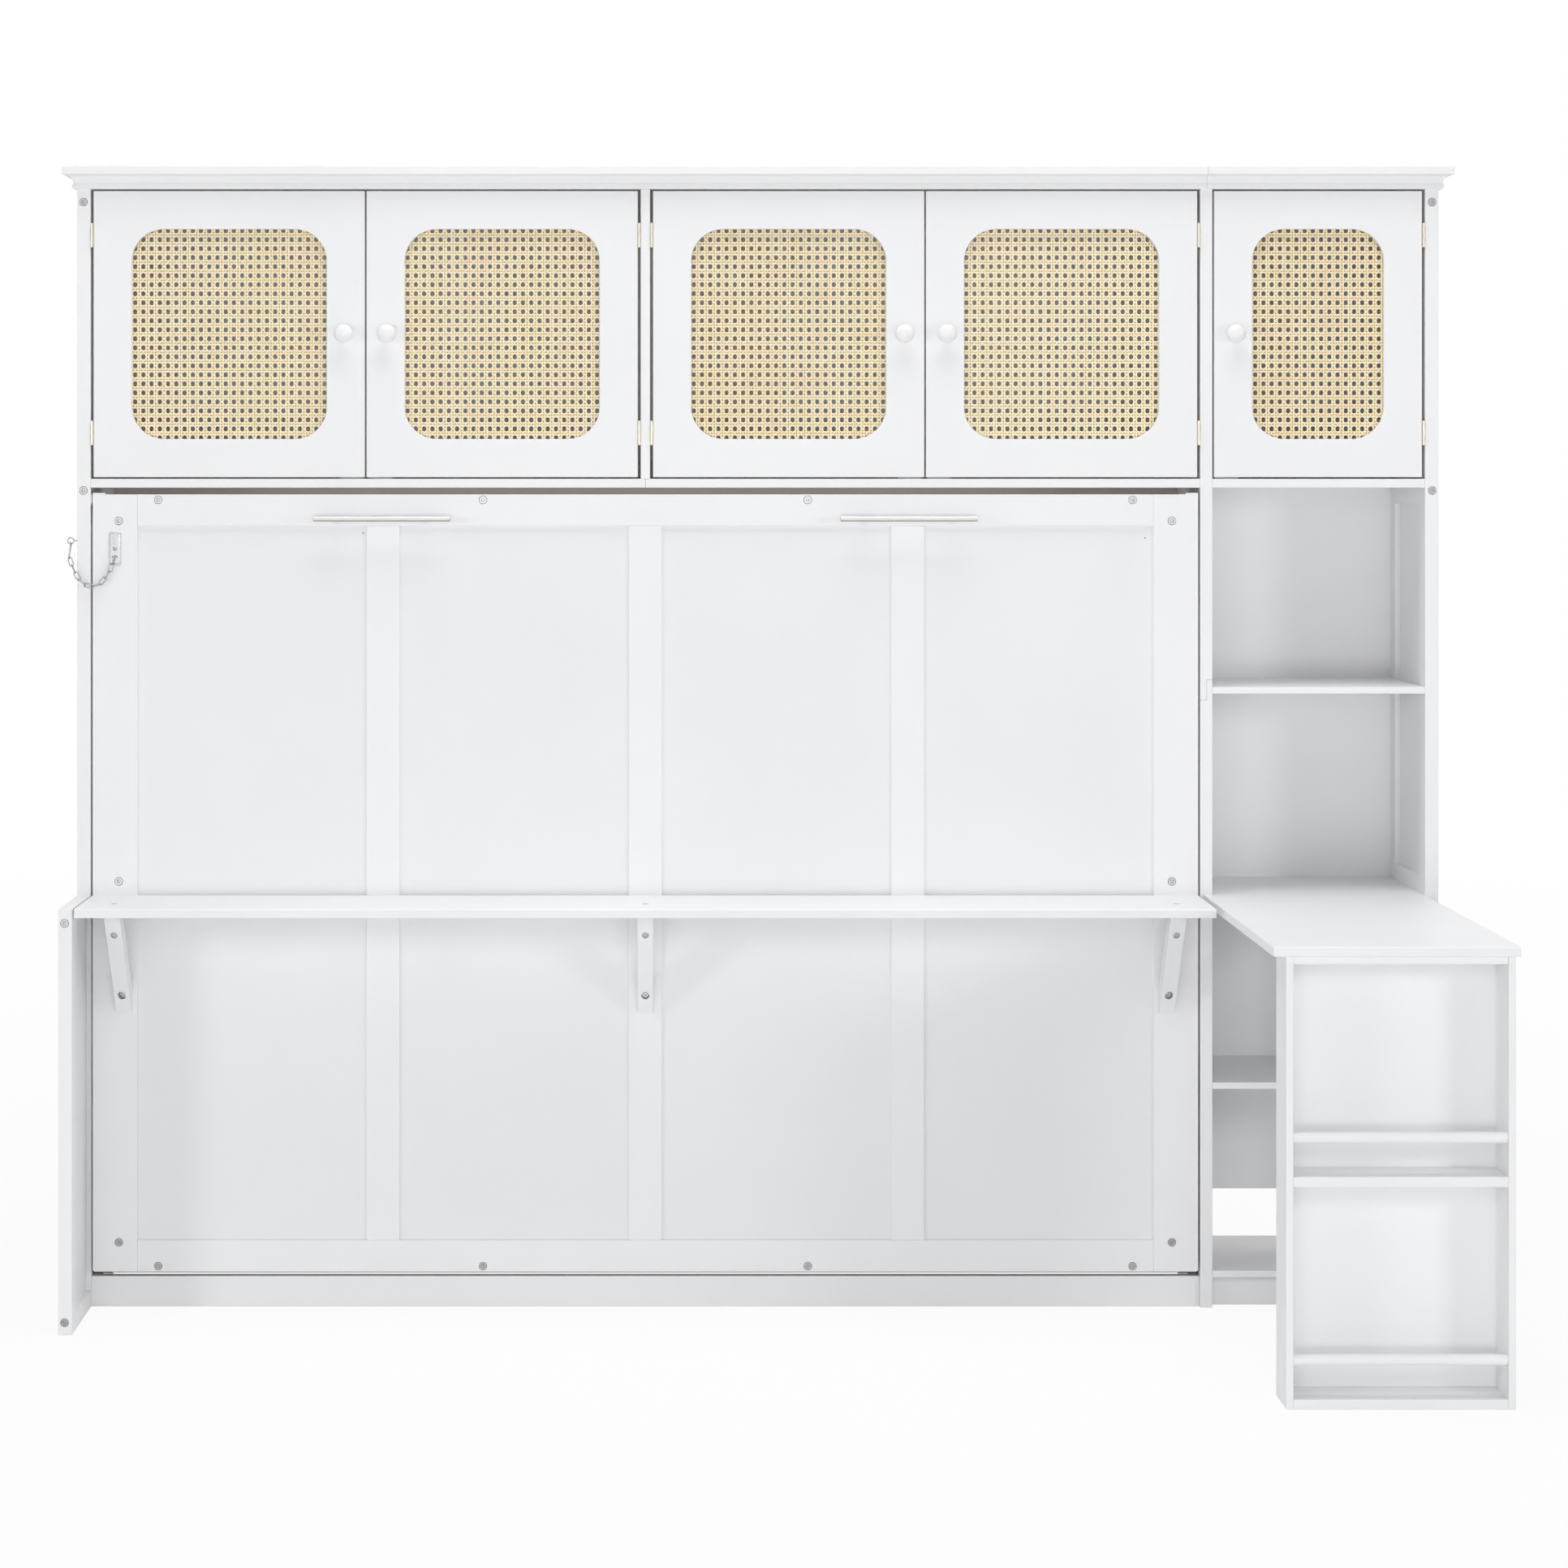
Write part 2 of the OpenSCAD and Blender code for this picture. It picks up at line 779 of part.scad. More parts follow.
lift_x = bed_x + lift_gap / 2;
upper_stud_y = pivot_y + lift_back;
upper_stud_z = pivot_z + lift_rise;
bed_stud_y = pivot_y - lift_fore;
bed_stud_z = pivot_z + lift_arm;
lift_dy = bed_stud_y - upper_stud_y;
lift_dz = bed_stud_z - upper_stud_z;
lift_l = sqrt(lift_dy * lift_dy + lift_dz * lift_dz);
lift_tilt = atan2(-lift_dy, -lift_dz);
eye_r = 8;
eye_w = 12;
stud_r = 4;
stud_gap = 0.5;
tube_start = 16;
tube_end = 165;
tube_wall = 2;
neck_r = 5;
gland_l = 14;
piston_l = 12;
lift_rod_l = 172;
stud_plate_w = 40;
stud_plate_h = 60;

// Children are drawn hanging down from the upper stud and tilted onto the lift's line
module on_lift_line() {
    both_ends()
        translate([lift_x, upper_stud_y, upper_stud_z])
            rotate([-lift_tilt, 0, 0])
                children();
}

module lift_cylinders() {
    bore_r = cylinder_d / 2 - tube_wall;
    color(black)
        on_lift_line()
            difference() {
                union() {
                    translate([-eye_w / 2, 0, 0])
                        rotate([0, 90, 0])
                            cylinder(r = eye_r, h = eye_w);
                    translate([0, 0, -tube_start])
                        cylinder(r = neck_r, h = tube_start - eye_r / 2);
                    translate([0, 0, -tube_end])
                        cylinder(d = cylinder_d, h = tube_end - tube_start);
                }
                translate([-eye_w / 2 - 1, 0, 0])
                    rotate([0, 90, 0])
                        cylinder(r = stud_r + run_clear, h = eye_w + 2);
                translate([0, 0, -tube_end + gland_l])
                    cylinder(r = bore_r, h = tube_end - tube_start - gland_l - 6);
                translate([0, 0, -tube_end - 1])
                    cylinder(r = lift_rod_d / 2 + run_clear, h = gland_l + 2);
            }
}

module lift_rods() {
    piston_r = cylinder_d / 2 - tube_wall - run_clear;
    color(steel)
        on_lift_line()
            union() {
                translate([0, 0, -lift_l])
                    cylinder(d = lift_rod_d, h = lift_rod_l);
                translate([0, 0, -lift_l + lift_rod_l - piston_l])
                    cylinder(r = piston_r, h = piston_l);
                translate([-eye_w / 2, 0, -lift_l])
                    rotate([0, 90, 0])
                        cylinder(r = eye_r, h = eye_w);
            }
}

// Steel plate on each end rail, with the hub that holds the pivot's bush and the boss that
// meets the lift
module bed_pivot_plates() {
    plate_top_z = bed_stud_z + 30;
    plate_low_z = pivot_z - 50;
    plate_y = box_y + 2;
    boss_x = lift_x + eye_w / 2 + stud_gap;
    color(black)
        both_ends()
            difference() {
                union() {
                    block(bed_plate_x, plate_y, plate_low_z, steel_t, 90, plate_top_z - plate_low_z);
                    bar_x(boss_x, bed_stud_y, bed_stud_z, stud_r + 3, bed_plate_x - boss_x + 1);
                    bar_x(bed_plate_x, pivot_y, pivot_z, hub_r, hub_l);
                }
                bar_x(bed_plate_x - 1, pivot_y, pivot_z, bush_r + run_clear, hub_l + 2);
            }
}

// ---- Bed ----

module bed_bolt_holes() {
    for (place = concat(bed_bolt_places, brace_bolts))
        bolt_hole(place);
}

end_flange_w = 60;
end_flange_t = 4;

function mullion_x(i) = face_inner_x + i * bay_w + (i - 1) * mullion_w;

// Outer stile of the bed front, round at its lower outer corner
module outer_stile() {
    translate([bed_x + bed_gap, front_y + face_t, bed_z])
        rotate([90, 0, 0])
            linear_extrude(face_t)
                union() {
                    translate([face_corner_r, face_corner_r])
                        circle(r = face_corner_r);
                    translate([face_corner_r, 0])
                        square([face_stile_w - face_corner_r, bed_h]);
                    translate([0, face_corner_r])
                        square([face_stile_w, bed_h - face_corner_r]);
                }
}

module bed_uprights() {
    color(white)
        difference() {
            union() {
                both_ends()
                    outer_stile();
                for (i = [1:3])
                    block(mullion_x(i), front_y, bed_z + face_rail_w, mullion_w, face_t,
                          bed_h - 2 * face_rail_w);
            }
            bed_bolt_holes();
        }
}

module bed_cross_rails() {
    color(white)
        difference() {
            for (z = [bed_z, bed_top_z - face_rail_w])
                block(face_inner_x, front_y, z, face_inner_w, face_t, face_rail_w);
            bed_bolt_holes();
        }
}

module bed_front_panels() {
    color(white)
        for (i = [0:3])
            block(face_inner_x + i * (bay_w + mullion_w), front_y + infill_set_back,
                  bed_z + face_rail_w, bay_w, infill_t, bed_h - 2 * face_rail_w);
}

// Weld nuts behind the front flanges, one for each bolt that reaches them
nut_r = 5;
nut_h = 5;

module weld_nut(x, z) {
    translate([x, box_y + channel_wall - fine, z])
        rotate([-90, 0, 0])
            cylinder(r = nut_r, h = nut_h, $fn = 6);
}

// End rail at the left: a deep web, a wide flange behind the front, a narrow one at the back
module end_rail() {
    flange_z = bed_z + bed_rail_t;
    flange_h = bed_h - 2 * bed_rail_t;
    back_y = box_y + box_depth - channel_wall;
    difference() {
        union() {
            block(box_x, box_y, bed_z, channel_wall, box_depth, bed_h);
            block(box_x, box_y, flange_z, end_flange_w, channel_wall, flange_h);
            block(box_x, back_y, flange_z, bed_rail_t, channel_wall, flange_h);
            for (i = [0:2])
                weld_nut(end_bolts[i][0], end_bolts[i][2]);
            weld_nut(brace_bolts[0][0], brace_bolts[0][2]);
        }
        bar_x(box_x - 1, pivot_y, pivot_z, hub_r + hub_clear, channel_wall + 2);
    }
}

// Long rail: a channel that opens towards the mattress; up is 1 for the lower rail
module long_rail(z, up) {
    x = box_x + channel_wall + seam;
    w = box_w - 2 * channel_wall - 2 * seam;
    flange_z = up > 0 ? z : z - bed_rail_t + seam;
    web_z = up > 0 ? z : z - channel_wall;
    block(x, box_y, web_z, w, box_depth, channel_wall);
    block(x, box_y, flange_z, w, channel_wall, bed_rail_t - seam);
    block(x, box_y + box_depth - channel_wall, flange_z, w, channel_wall, bed_rail_t - seam);
}

module bed_box_rails() {
    color(black)
        difference() {
            union() {
                both_ends()
                    end_rail();
                long_rail(bed_z, 1);
                long_rail(bed_top_z, -1);
                for (place = long_bolts)
                    weld_nut(place[0], place[2]);
            }
            bed_bolt_holes();
        }
}

// Black foot under each lower corner, seen in the gap above the base rail
foot_out = 4.5;
foot_low_z = 56.5;
foot_reach = 38;
foot_front_y = bracket_y;
foot_d = 16;
foot_back_y = foot_front_y + foot_d;
foot_up = 35;

module bed_corner_feet() {
    drop = bed_z - foot_low_z;
    color(black)
        both_ends()
            union() {
                block(bed_x + foot_out, box_y, bed_z, lift_gap - foot_out, foot_back_y - box_y,
                      foot_up);
                translate([bed_x + foot_out, foot_back_y, foot_low_z])
                    rotate([90, 0, 0])
                        linear_extrude(foot_back_y - foot_front_y)
                            polygon([
                                [0, 0], [foot_reach - drop, 0], [foot_reach, drop],
                                [lift_gap - foot_out, drop], [lift_gap - foot_out, drop + 1],
                                [0, drop + 1]
                            ]);
            }
}

// Pale wear plate on each top corner of the bed front
top_plate_t = 2.5;

module bed_top_plates() {
    color(white)
        both_ends()
            block(bed_x + bed_gap, front_y + seam, bed_top_z, top_plate_w, face_t - 2 * seam,
                  top_plate_t);
}

module slat_ledgers() {
    inner_z = bed_z + bed_rail_t;
    inner_h = bed_h - 2 * bed_rail_t;
    color("wheat")
        for (z = [inner_z, inner_z + inner_h / 2 - ledger / 2, inner_z + inner_h - ledger])
            block(box_x + end_flange_w, box_y, z, box_w - 2 * end_flange_w, ledger, ledger);
}

module slats() {
    first_x = box_x + bed_rail_t + slat_w;
    span = box_w - 2 * bed_rail_t - 3 * slat_w;
    color("wheat")
        for (i = [0:slat_count - 1])
            block(first_x + i * span / (slat_count - 1), box_y + ledger,
                  bed_z + bed_rail_t + 1, slat_w, slat_t, bed_h - 2 * bed_rail_t - 2);
}

// Screws down through the desk board into the braces, as [x, y]
desk_screw_d = 12;
desk_screw_head = 3;
desk_screw_l = 38;
desk_screw_in = 22;
desk_screw_y = front_y - brace_reach + desk_screw_in;
desk_screw_shank = 4;

module desk_screws(clear, top_z) {
    for (x = brace_xs)
        union() {
            bar_z(x, desk_screw_y, top_z - desk_screw_head, desk_screw_d / 2 + clear,
                  desk_screw_head);
            bar_z(x, desk_screw_y, top_z - desk_screw_l - clear, desk_screw_shank / 2 + clear,
                  desk_screw_l);
        }
}

module fold_desk_board() {
    color(white)
        difference() {
            block(bed_x + bed_gap, front_y - lower_reach, desk_h - desk_t, bed_w,
                  lower_reach, desk_t);
            difference() {
                block(bed_x, front_y - lower_reach - 1, desk_h - desk_edge_r,
                      bed_opening_w, desk_edge_r + 1, desk_edge_r + 1);
                bar_x(bed_x - 1, front_y - lower_reach + desk_edge_r, desk_h - desk_edge_r,
                      desk_edge_r, bed_opening_w + 2);
            }
            desk_screws(bolt_clear, desk_h - seam);
            desk_screws(bolt_clear, desk_h + 1);
        }
}

// A brace runs from the bed front up to the underside of the desk board
module fold_desk_braces() {
    top_z = desk_h - desk_t;
    slope = atan2(brace_drop, brace_reach);
    foot = brace_t / cos(slope);
    blunt = 10;
    recess_drop = 40;
    recess_r = 6;
    recess_depth = 9;
    recess_y = front_y - brace_reach * (1 - recess_drop / brace_drop);
    color(white)
        difference() {
            for (x = brace_xs)
                yz_plate(x - brace_w / 2, brace_w, [
                    [front_y, brace_low_z], [front_y, brace_low_z + foot],
                    [front_y - brace_reach + brace_t / sin(slope), top_z],
                    [front_y - brace_reach, top_z], [front_y - brace_reach, top_z - blunt],
                    [front_y - blunt, brace_low_z]
                ]);
            for (place = brace_bolts) {
                bolt_hole(place);
                bar_y(place[0], place[1] - brace_reach, place[2], bolt_head_d / 2 + bolt_clear,
                      brace_reach);
            }
            for (x = brace_xs)
                bar_y(x, recess_y - brace_reach, top_z - recess_drop, recess_r,
                      brace_reach + recess_depth);
            desk_screws(bolt_clear, desk_h - seam);
        }
}

handle_xs = [for (i = [1, 3]) mullion_x(i) + mullion_w / 2];

handle_post_r = 4;

module pull_handles() {
    z = bed_top_z - handle_drop;
    bar_y0 = front_y - handle_clear - handle_d / 2;
    color(steel)
        for (x = handle_xs)
            union() {
                bar_x(x - handle_l / 2, bar_y0, z, handle_d / 2, handle_l);
                for (side = [-1, 1])
                    bar_y(x + side * handle_pitch / 2, bar_y0, z, handle_post_r,
                          front_y - bar_y0);
            }
}

module bed_bolts() {
    color(steel) {
        for (place = concat(bed_bolt_places, brace_bolts))
            bolt(place);
        desk_screws(0, desk_h - seam);
    }
}

// ---- Safety chain, from the plate on the bed front round to an eye on the left side ----

chain_plate_x = left_x + 68;
chain_plate_z = 1371;
chain_plate_w = 22;
chain_plate_h = 59;
chain_plate_t = 2;
staple_z = 1356;
staple_reach = 8;
staple_w = 8;
chain_y = front_y - staple_reach;
eye_y = front_y + 9;
eye_z = 1385;
eye_ring_r = 5.5;
wire_r = wire_d / 2;
link_clear = 0.4;
clip_w = 10;

// The chain hangs in a catenary: a link's slope goes with its distance along the chain
link_pitch = link_l - 2 * wire_d - 2 * link_clear;
link_end = link_l / 2 - wire_r;
hook_end = link_end - wire_d - link_clear;
hang_width = 21;
lowest_link = 4.6;
function link_angle(i) = 270 + atan((i - lowest_link) * link_pitch / hang_width);
function link_x(i) = i == 0
    ? chain_plate_x + hook_end * sin(link_angle(0))
    : link_x(i - 1) + link_pitch * (sin(link_angle(i - 1)) + sin(link_angle(i))) / 2;
function link_z(i) = i == 0
    ? staple_z + hook_end * cos(link_angle(0))
    : link_z(i - 1) + link_pitch * (cos(link_angle(i - 1)) + cos(link_angle(i))) / 2;

// The clip joins the last link to the ring of the eye
last_link = link_count - 1;
clip_x = link_x(last_link) + link_end * sin(link_angle(last_link));
clip_low_z = link_z(last_link) + link_end * cos(link_angle(last_link));
clip_top_z = eye_z - eye_ring_r;
clip_dy = eye_y - chain_y;
clip_dz = clip_top_z - clip_low_z;
clip_l = sqrt(clip_dy * clip_dy + clip_dz * clip_dz) + 3 * wire_d + 2 * link_clear;
clip_tilt = atan2(clip_dy, clip_dz);

module chain_eye_hole() {
    bar_x(left_x - 1, eye_y, eye_z, wire_r + bolt_clear, 15);
}

// Ring of round wire in the X-Z plane
module wire_ring(r) {
    rotate([90, 0, 0])
        rotate_extrude()
            translate([r, 0])
                circle(r = wire_r);
}

module chain_eye() {
    shank_x = clip_x + eye_ring_r;
    color(steel)
        union() {
            bar_x(shank_x, eye_y, eye_z, wire_r, left_x + 12 - shank_x);
            translate([clip_x, eye_y, eye_z])
                wire_ring(eye_ring_r);
        }
}

module chain_plate() {
    color(steel)
        union() {
            block(chain_plate_x - chain_plate_w / 2, front_y - chain_plate_t,
                  chain_plate_z - chain_plate_h / 2, chain_plate_w, chain_plate_t,
                  chain_plate_h);
            for (side = [-1, 1])
                bar_y(chain_plate_x + side * staple_w / 2, chain_y, staple_z, wire_r,
                      staple_reach - 1);
            bar_x(chain_plate_x - staple_w / 2 - wire_r, chain_y, staple_z, wire_r,
                  staple_w + wire_d);
        }
}

// Half a link of a given length and width: an arc of wire and its two legs to the middle
module half_link(length, width) {
    turn_r = width / 2 - wire_r;
    leg = length / 2 - width / 2;
    translate([0, 0, leg])
        rotate([90, 0, 0])
            rotate_extrude(angle = 180)
                translate([turn_r, 0])
                    circle(d = wire_d, $fn = 24);
    for (side = [-1, 1])
        translate([side * turn_r, 0, -fine])
            cylinder(d = wire_d, h = leg + fine, $fn = 24);
}

module wire_link(length, width) {
    union() {
        half_link(length, width);
        mirror([0, 0, 1])
            half_link(length, width);
    }
}

module safety_chain() {
    color(steel) {
        for (i = [0:last_link])
            translate([link_x(i), chain_y, link_z(i)])
                rotate([0, link_angle(i), 0])
                    rotate([0, 0, 90 * ((i + 1) % 2)])
                        wire_link(link_l, link_w);
        translate([clip_x, (chain_y + eye_y) / 2, (clip_low_z + clip_top_z) / 2])
            rotate([-clip_tilt, 0, 0])
                rotate([0, 0, 90])
                    wire_link(clip_l, clip_w);
    }
}

// ---- Doors ----

pair_w = (bed_opening_w - partition_t) / 2;
wide_door_w = (pair_w - 2 * hinge_gap - meeting_gap) / 2;
narrow_door_w = column_w - hinge_gap - meeting_gap;
door_z = deck_z + deck_t + door_gap;
door_h = side_h - moulding_h - door_gap - door_z;
pair_x = [bed_x, bed_mid_x + partition_t / 2];

// Each door as [left edge, width, hinge side: -1 left or 1 right]
doors = [
    [pair_x[0] + hinge_gap, wide_door_w, -1],
    [pair_x[0] + hinge_gap + wide_door_w + meeting_gap, wide_door_w, 1],
    [pair_x[1] + hinge_gap, wide_door_w, -1],
    [pair_x[1] + hinge_gap + wide_door_w + meeting_gap, wide_door_w, 1],
    [column_x + meeting_gap, narrow_door_w, 1]
];

// Rectangle with round corners, centred
module round_rect(w, h, r) {
    square([w - 2 * r, h], center = true);
    square([w, h - 2 * r], center = true);
    for (x = [-1, 1], z = [-1, 1])
        translate([x * (w / 2 - r), z * (h / 2 - r)])
            circle(r = r, $fn = 64);
}

// A plate of the window's shape, grown by a margin, between two depths from the door's face
module window_plate(door, grow, y0, y1) {
    translate([door[0] + door[1] / 2, front_y + y1, door_z + door_h / 2])
        rotate([90, 0, 0])
            linear_extrude(y1 - y0)
                round_rect(door[1] - 2 * window_margin + 2 * grow,
                           door_h - 2 * window_margin + 2 * grow, window_r + grow);
}

module door_frame(door) {
    color(white)
        difference() {
            block(door[0], front_y, door_z, door[1], door_t, door_h);
            window_plate(door, 0, -1, door_t + 1);
            window_plate(door, cane_lap, cane_lip, door_t + 1);
        }
}

// The cane sheet and the bead that holds it in the frame's rebate
module door_cane(door) {
    fit = 0.3;
    color("wheat") {
        window_plate(door, cane_lap - fit, cane_lip, cane_lip + cane_t);
        difference() {
            window_plate(door, cane_lap - fit, cane_lip + cane_t, door_t - 1);
            window_plate(door, 1, cane_lip, door_t + 1);
        }
    }
}

// A pale catch on the cupboard floor stops each door near its free edge
catch_inset = 4;
catch_t = 5;
catch_h = 12;

module door_catches() {
    color(white)
        for (door = doors) {
            x = door[2] < 0 ? door[0] + door[1] - catch_inset - catch_w : door[0] + catch_inset;
            block(x, front_y + door_t + seam, deck_z + deck_t, catch_w, catch_t, catch_h);
        }
}

module door_knob(door) {
    x = door[2] < 0 ? door[0] + door[1] - knob_inset : door[0] + knob_inset;
    r = knob_d / 2;
    color(white)
        translate([x, front_y, door_z + door_h / 2])
            rotate([90, 0, 0])
                rotate_extrude()
                    polygon(concat(
                        [[0, 0], [r * 0.62, 0], [r * 0.62, 2], [r * 0.42, 5],
                         [r * 0.38, knob_h * 0.4]],
                        [for (a = [-50:10:90]) [
                            r * cos(a), knob_h * 0.68 + knob_h * 0.32 * sin(a)
                        ]]
                    ));
}

knuckle_gap = 0.2;
knuckle_l = (hinge_h - 4 * knuckle_gap) / 5;
hinge_pin_r = 1.2;
leaf_clear = 0.4;
hinge_y = front_y - pin_proud;

function hinge_x(door) = door[2] < 0
    ? door[0] - hinge_gap / 2
    : door[0] + door[1] + hinge_gap / 2;
function hinge_zs() = [door_z + hinge_inset, door_z + door_h - hinge_inset - hinge_h];

// One leaf: its knuckles, and its plate on the side towards_door says
module hinge_leaf(x, z, towards_door, knuckles, plate_d) {
    far = hinge_gap / 2;
    plate_y = hinge_y + barrel_r + leaf_clear;
    plate_x = towards_door > 0 ? x + far - leaf_t : x - far;
    for (k = knuckles) {
        kz = z + k * (knuckle_l + knuckle_gap);
        bar_z(x, hinge_y, kz, barrel_r, knuckle_l);
        block(plate_x, hinge_y, kz, leaf_t, plate_y - hinge_y + fine, knuckle_l);
    }
    block(plate_x, plate_y, z, leaf_t, plate_d, hinge_h);
}

module fixed_leaves(door) {
    x = hinge_x(door);
    for (z = hinge_zs())
        difference() {
            union() {
                hinge_leaf(x, z, door[2], [0, 2, 4], 18);
            }
            bar_z(x, hinge_y, z - 1, hinge_pin_r + run_clear, hinge_h + 2);
        }
}

module hinge_fixed_leaves() {
    color(brass)
        for (door = doors)
            fixed_leaves(door);
}

module door_hinges(door) {
    x = hinge_x(door);
    color(brass)
        for (z = hinge_zs())
            union() {
                hinge_leaf(x, z, -door[2], [1, 3], 14);
                bar_z(x, hinge_y, z, hinge_pin_r, hinge_h);
            }
}

left_side_frame();
right_side_frame();
side_panels();
divider_boards();
front_rails();
wall_rails();
cupboard_floors();
cupboard_partition();
top_boards();
crown_mouldings();
back_panels();
column_shelves();
desk_top();
rack_sides();
rack_shelves();
rack_rods();
cabinet_bolts();
steel_brackets();
pivot_pins();
hinge_fixed_leaves();
door_catches();
chain_eye();
bed_uprights();
bed_cross_rails();
bed_front_panels();
bed_box_rails();
bed_corner_feet();
bed_top_plates();
slat_ledgers();
slats();
fold_desk_board();
fold_desk_braces();
pull_handles();
bed_bolts();
bed_pivot_plates();
pivot_bushes();
chain_plate();
safety_chain();
lift_cylinders();
lift_rods();
door_frame(doors[0]);  // door_1_frame
door_cane(doors[0]);  // door_1_cane
door_knob(doors[0]);  // door_1_knob
door_hinges(doors[0]);  // door_1_hinges
door_frame(doors[1]);  // door_2_frame
door_cane(doors[1]);  // door_2_cane
door_knob(doors[1]);  // door_2_knob
door_hinges(doors[1]);  // door_2_hinges
door_frame(doors[2]);  // door_3_frame
door_cane(doors[2]);  // door_3_cane
door_knob(doors[2]);  // door_3_knob
door_hinges(doors[2]);  // door_3_hinges
door_frame(doors[3]);  // door_4_frame
door_cane(doors[3]);  // door_4_cane
door_knob(doors[3]);  // door_4_knob
door_hinges(doors[3]);  // door_4_hinges
door_frame(doors[4]);  // door_5_frame
door_cane(doors[4]);  // door_5_cane
door_knob(doors[4]);  // door_5_knob
door_hinges(doors[4]);  // door_5_hinges
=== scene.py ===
import json
import math
import random

import bmesh
import bpy
from bpy.props import FloatProperty, FloatVectorProperty, IntProperty, PointerProperty
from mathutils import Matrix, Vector


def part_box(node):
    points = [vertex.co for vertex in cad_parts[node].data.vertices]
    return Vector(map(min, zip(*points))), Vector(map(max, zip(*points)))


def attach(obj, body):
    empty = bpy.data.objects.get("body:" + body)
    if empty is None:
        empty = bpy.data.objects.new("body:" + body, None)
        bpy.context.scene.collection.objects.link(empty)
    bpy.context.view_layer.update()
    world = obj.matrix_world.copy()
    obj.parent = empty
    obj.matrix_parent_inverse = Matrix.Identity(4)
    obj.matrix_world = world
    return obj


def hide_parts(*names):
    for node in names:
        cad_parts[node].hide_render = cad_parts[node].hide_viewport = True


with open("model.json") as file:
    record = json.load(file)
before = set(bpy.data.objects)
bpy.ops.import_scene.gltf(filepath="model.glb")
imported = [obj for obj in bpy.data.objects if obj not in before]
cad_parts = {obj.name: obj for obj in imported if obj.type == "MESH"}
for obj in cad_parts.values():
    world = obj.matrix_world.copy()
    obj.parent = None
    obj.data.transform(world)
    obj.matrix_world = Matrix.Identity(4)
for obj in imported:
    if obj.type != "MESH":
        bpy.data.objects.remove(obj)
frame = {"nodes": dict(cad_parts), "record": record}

bl_info = {
    "name": "Wall bed with fold-down desk",
    "version": (1, 0, 0),
    "blender": (4, 5, 0),
    "location": "3D Viewport > Sidebar > Wall Bed",
    "description": "Finishes a white wall bed with cane cupboard doors and a side desk",
    "category": "Add Mesh",
}

MM = 0.001
RECORD = frame["record"]
BODY_OF = {n: body for body, nodes in RECORD["behaviour"]["bodies"].items() for n in nodes}
SLOT_OF = {part["node"]: part["material_slot"] for part in RECORD["subparts"]}
DOORS = (1, 2, 3, 4, 5)
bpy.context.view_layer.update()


def colour_property(name, description, default):
    return FloatVectorProperty(name=name, description=description, subtype="COLOR",
                               size=3, min=0.0, max=1.0, default=default)


def length_property(name, description, default_mm):
    return FloatProperty(name=name, description=description, unit="LENGTH",
                         subtype="DISTANCE", default=default_mm * MM, min=0.0, precision=5)


class WallBedFinishes(bpy.types.PropertyGroup):
    """Colours of the painted, woven and metal parts."""

    lacquer: colour_property("Lacquer", "White lacquer on the boards", (0.872, 0.873, 0.878))
    thin_board: colour_property("Thin board", "Paint on the bed's thin panels",
                                (0.848, 0.850, 0.855))
    # Lighter than the lacquer as painted light. The white paint is real; the extra lightness
    # stands in for fill light in the shaded cupboards, column and rack.
    back_board_painted_fill: colour_property("Back board with painted fill", "Paint on the thin back panels, lightened as painted fill light",
                                (0.90, 0.901, 0.904))
    cane_light: colour_property("Cane, light", "Bleached side of the cane", (0.98, 0.845, 0.575))
    cane_dark: colour_property("Cane, dark", "Darker runs of the cane", (0.89, 0.695, 0.405))
    pine: colour_property("Pine", "Bare wood of the slats", (0.62, 0.43, 0.24))
    powder_coat: colour_property("Powder coat", "Black paint on the bed's steel",
                                 (0.02, 0.02, 0.022))
    nickel: colour_property("Nickel", "Brushed pull handles", (0.52, 0.513, 0.498))
    zinc: colour_property("Zinc", "Plated bolts and chain", (0.34, 0.34, 0.348))
    hinge_brass: colour_property("Hinge brass", "Pale brass of the door hinges",
                                 (0.60, 0.555, 0.45))
    plastic_black: colour_property("Black plastic", "Feet under the bed's corners",
                                   (0.045, 0.045, 0.047))
    plastic_white: colour_property("White plastic", "Catches and top plates", (0.88, 0.88, 0.87))
    bronze: colour_property("Bronze", "Bushes of the pivot", (0.42, 0.27, 0.13))


class WallBedDetails(bpy.types.PropertyGroup):
    """Sizes of the small shapes that the boards and the cane show."""

    board_edge: length_property("Board edge", "Rounding of the lacquered edges", 1.0)
    metal_edge: length_property("Metal edge", "Rounding of small metal edges", 0.5)
    cane_across: length_property("Cane pitch across", "Distance between the cane's holes", 14.9)
    cane_up: length_property("Cane pitch up", "Distance between the cane's rows", 16.3)
    cane_pair: length_property("Pair spacing", "Distance between the strands of a pair", 4.75)
    strand_width: length_property("Strand width", "Width of the upright and level strands", 3.1)
    slant_width: length_property("Slanting strand width", "Width of the slanting strands", 2.4)
    strand_thickness: length_property("Strand thickness", "Thickness of a strand", 0.55)
    knob_turns: IntProperty(name="Knob facets", description="Facets round a knob",
                            default=72, min=16, max=128)


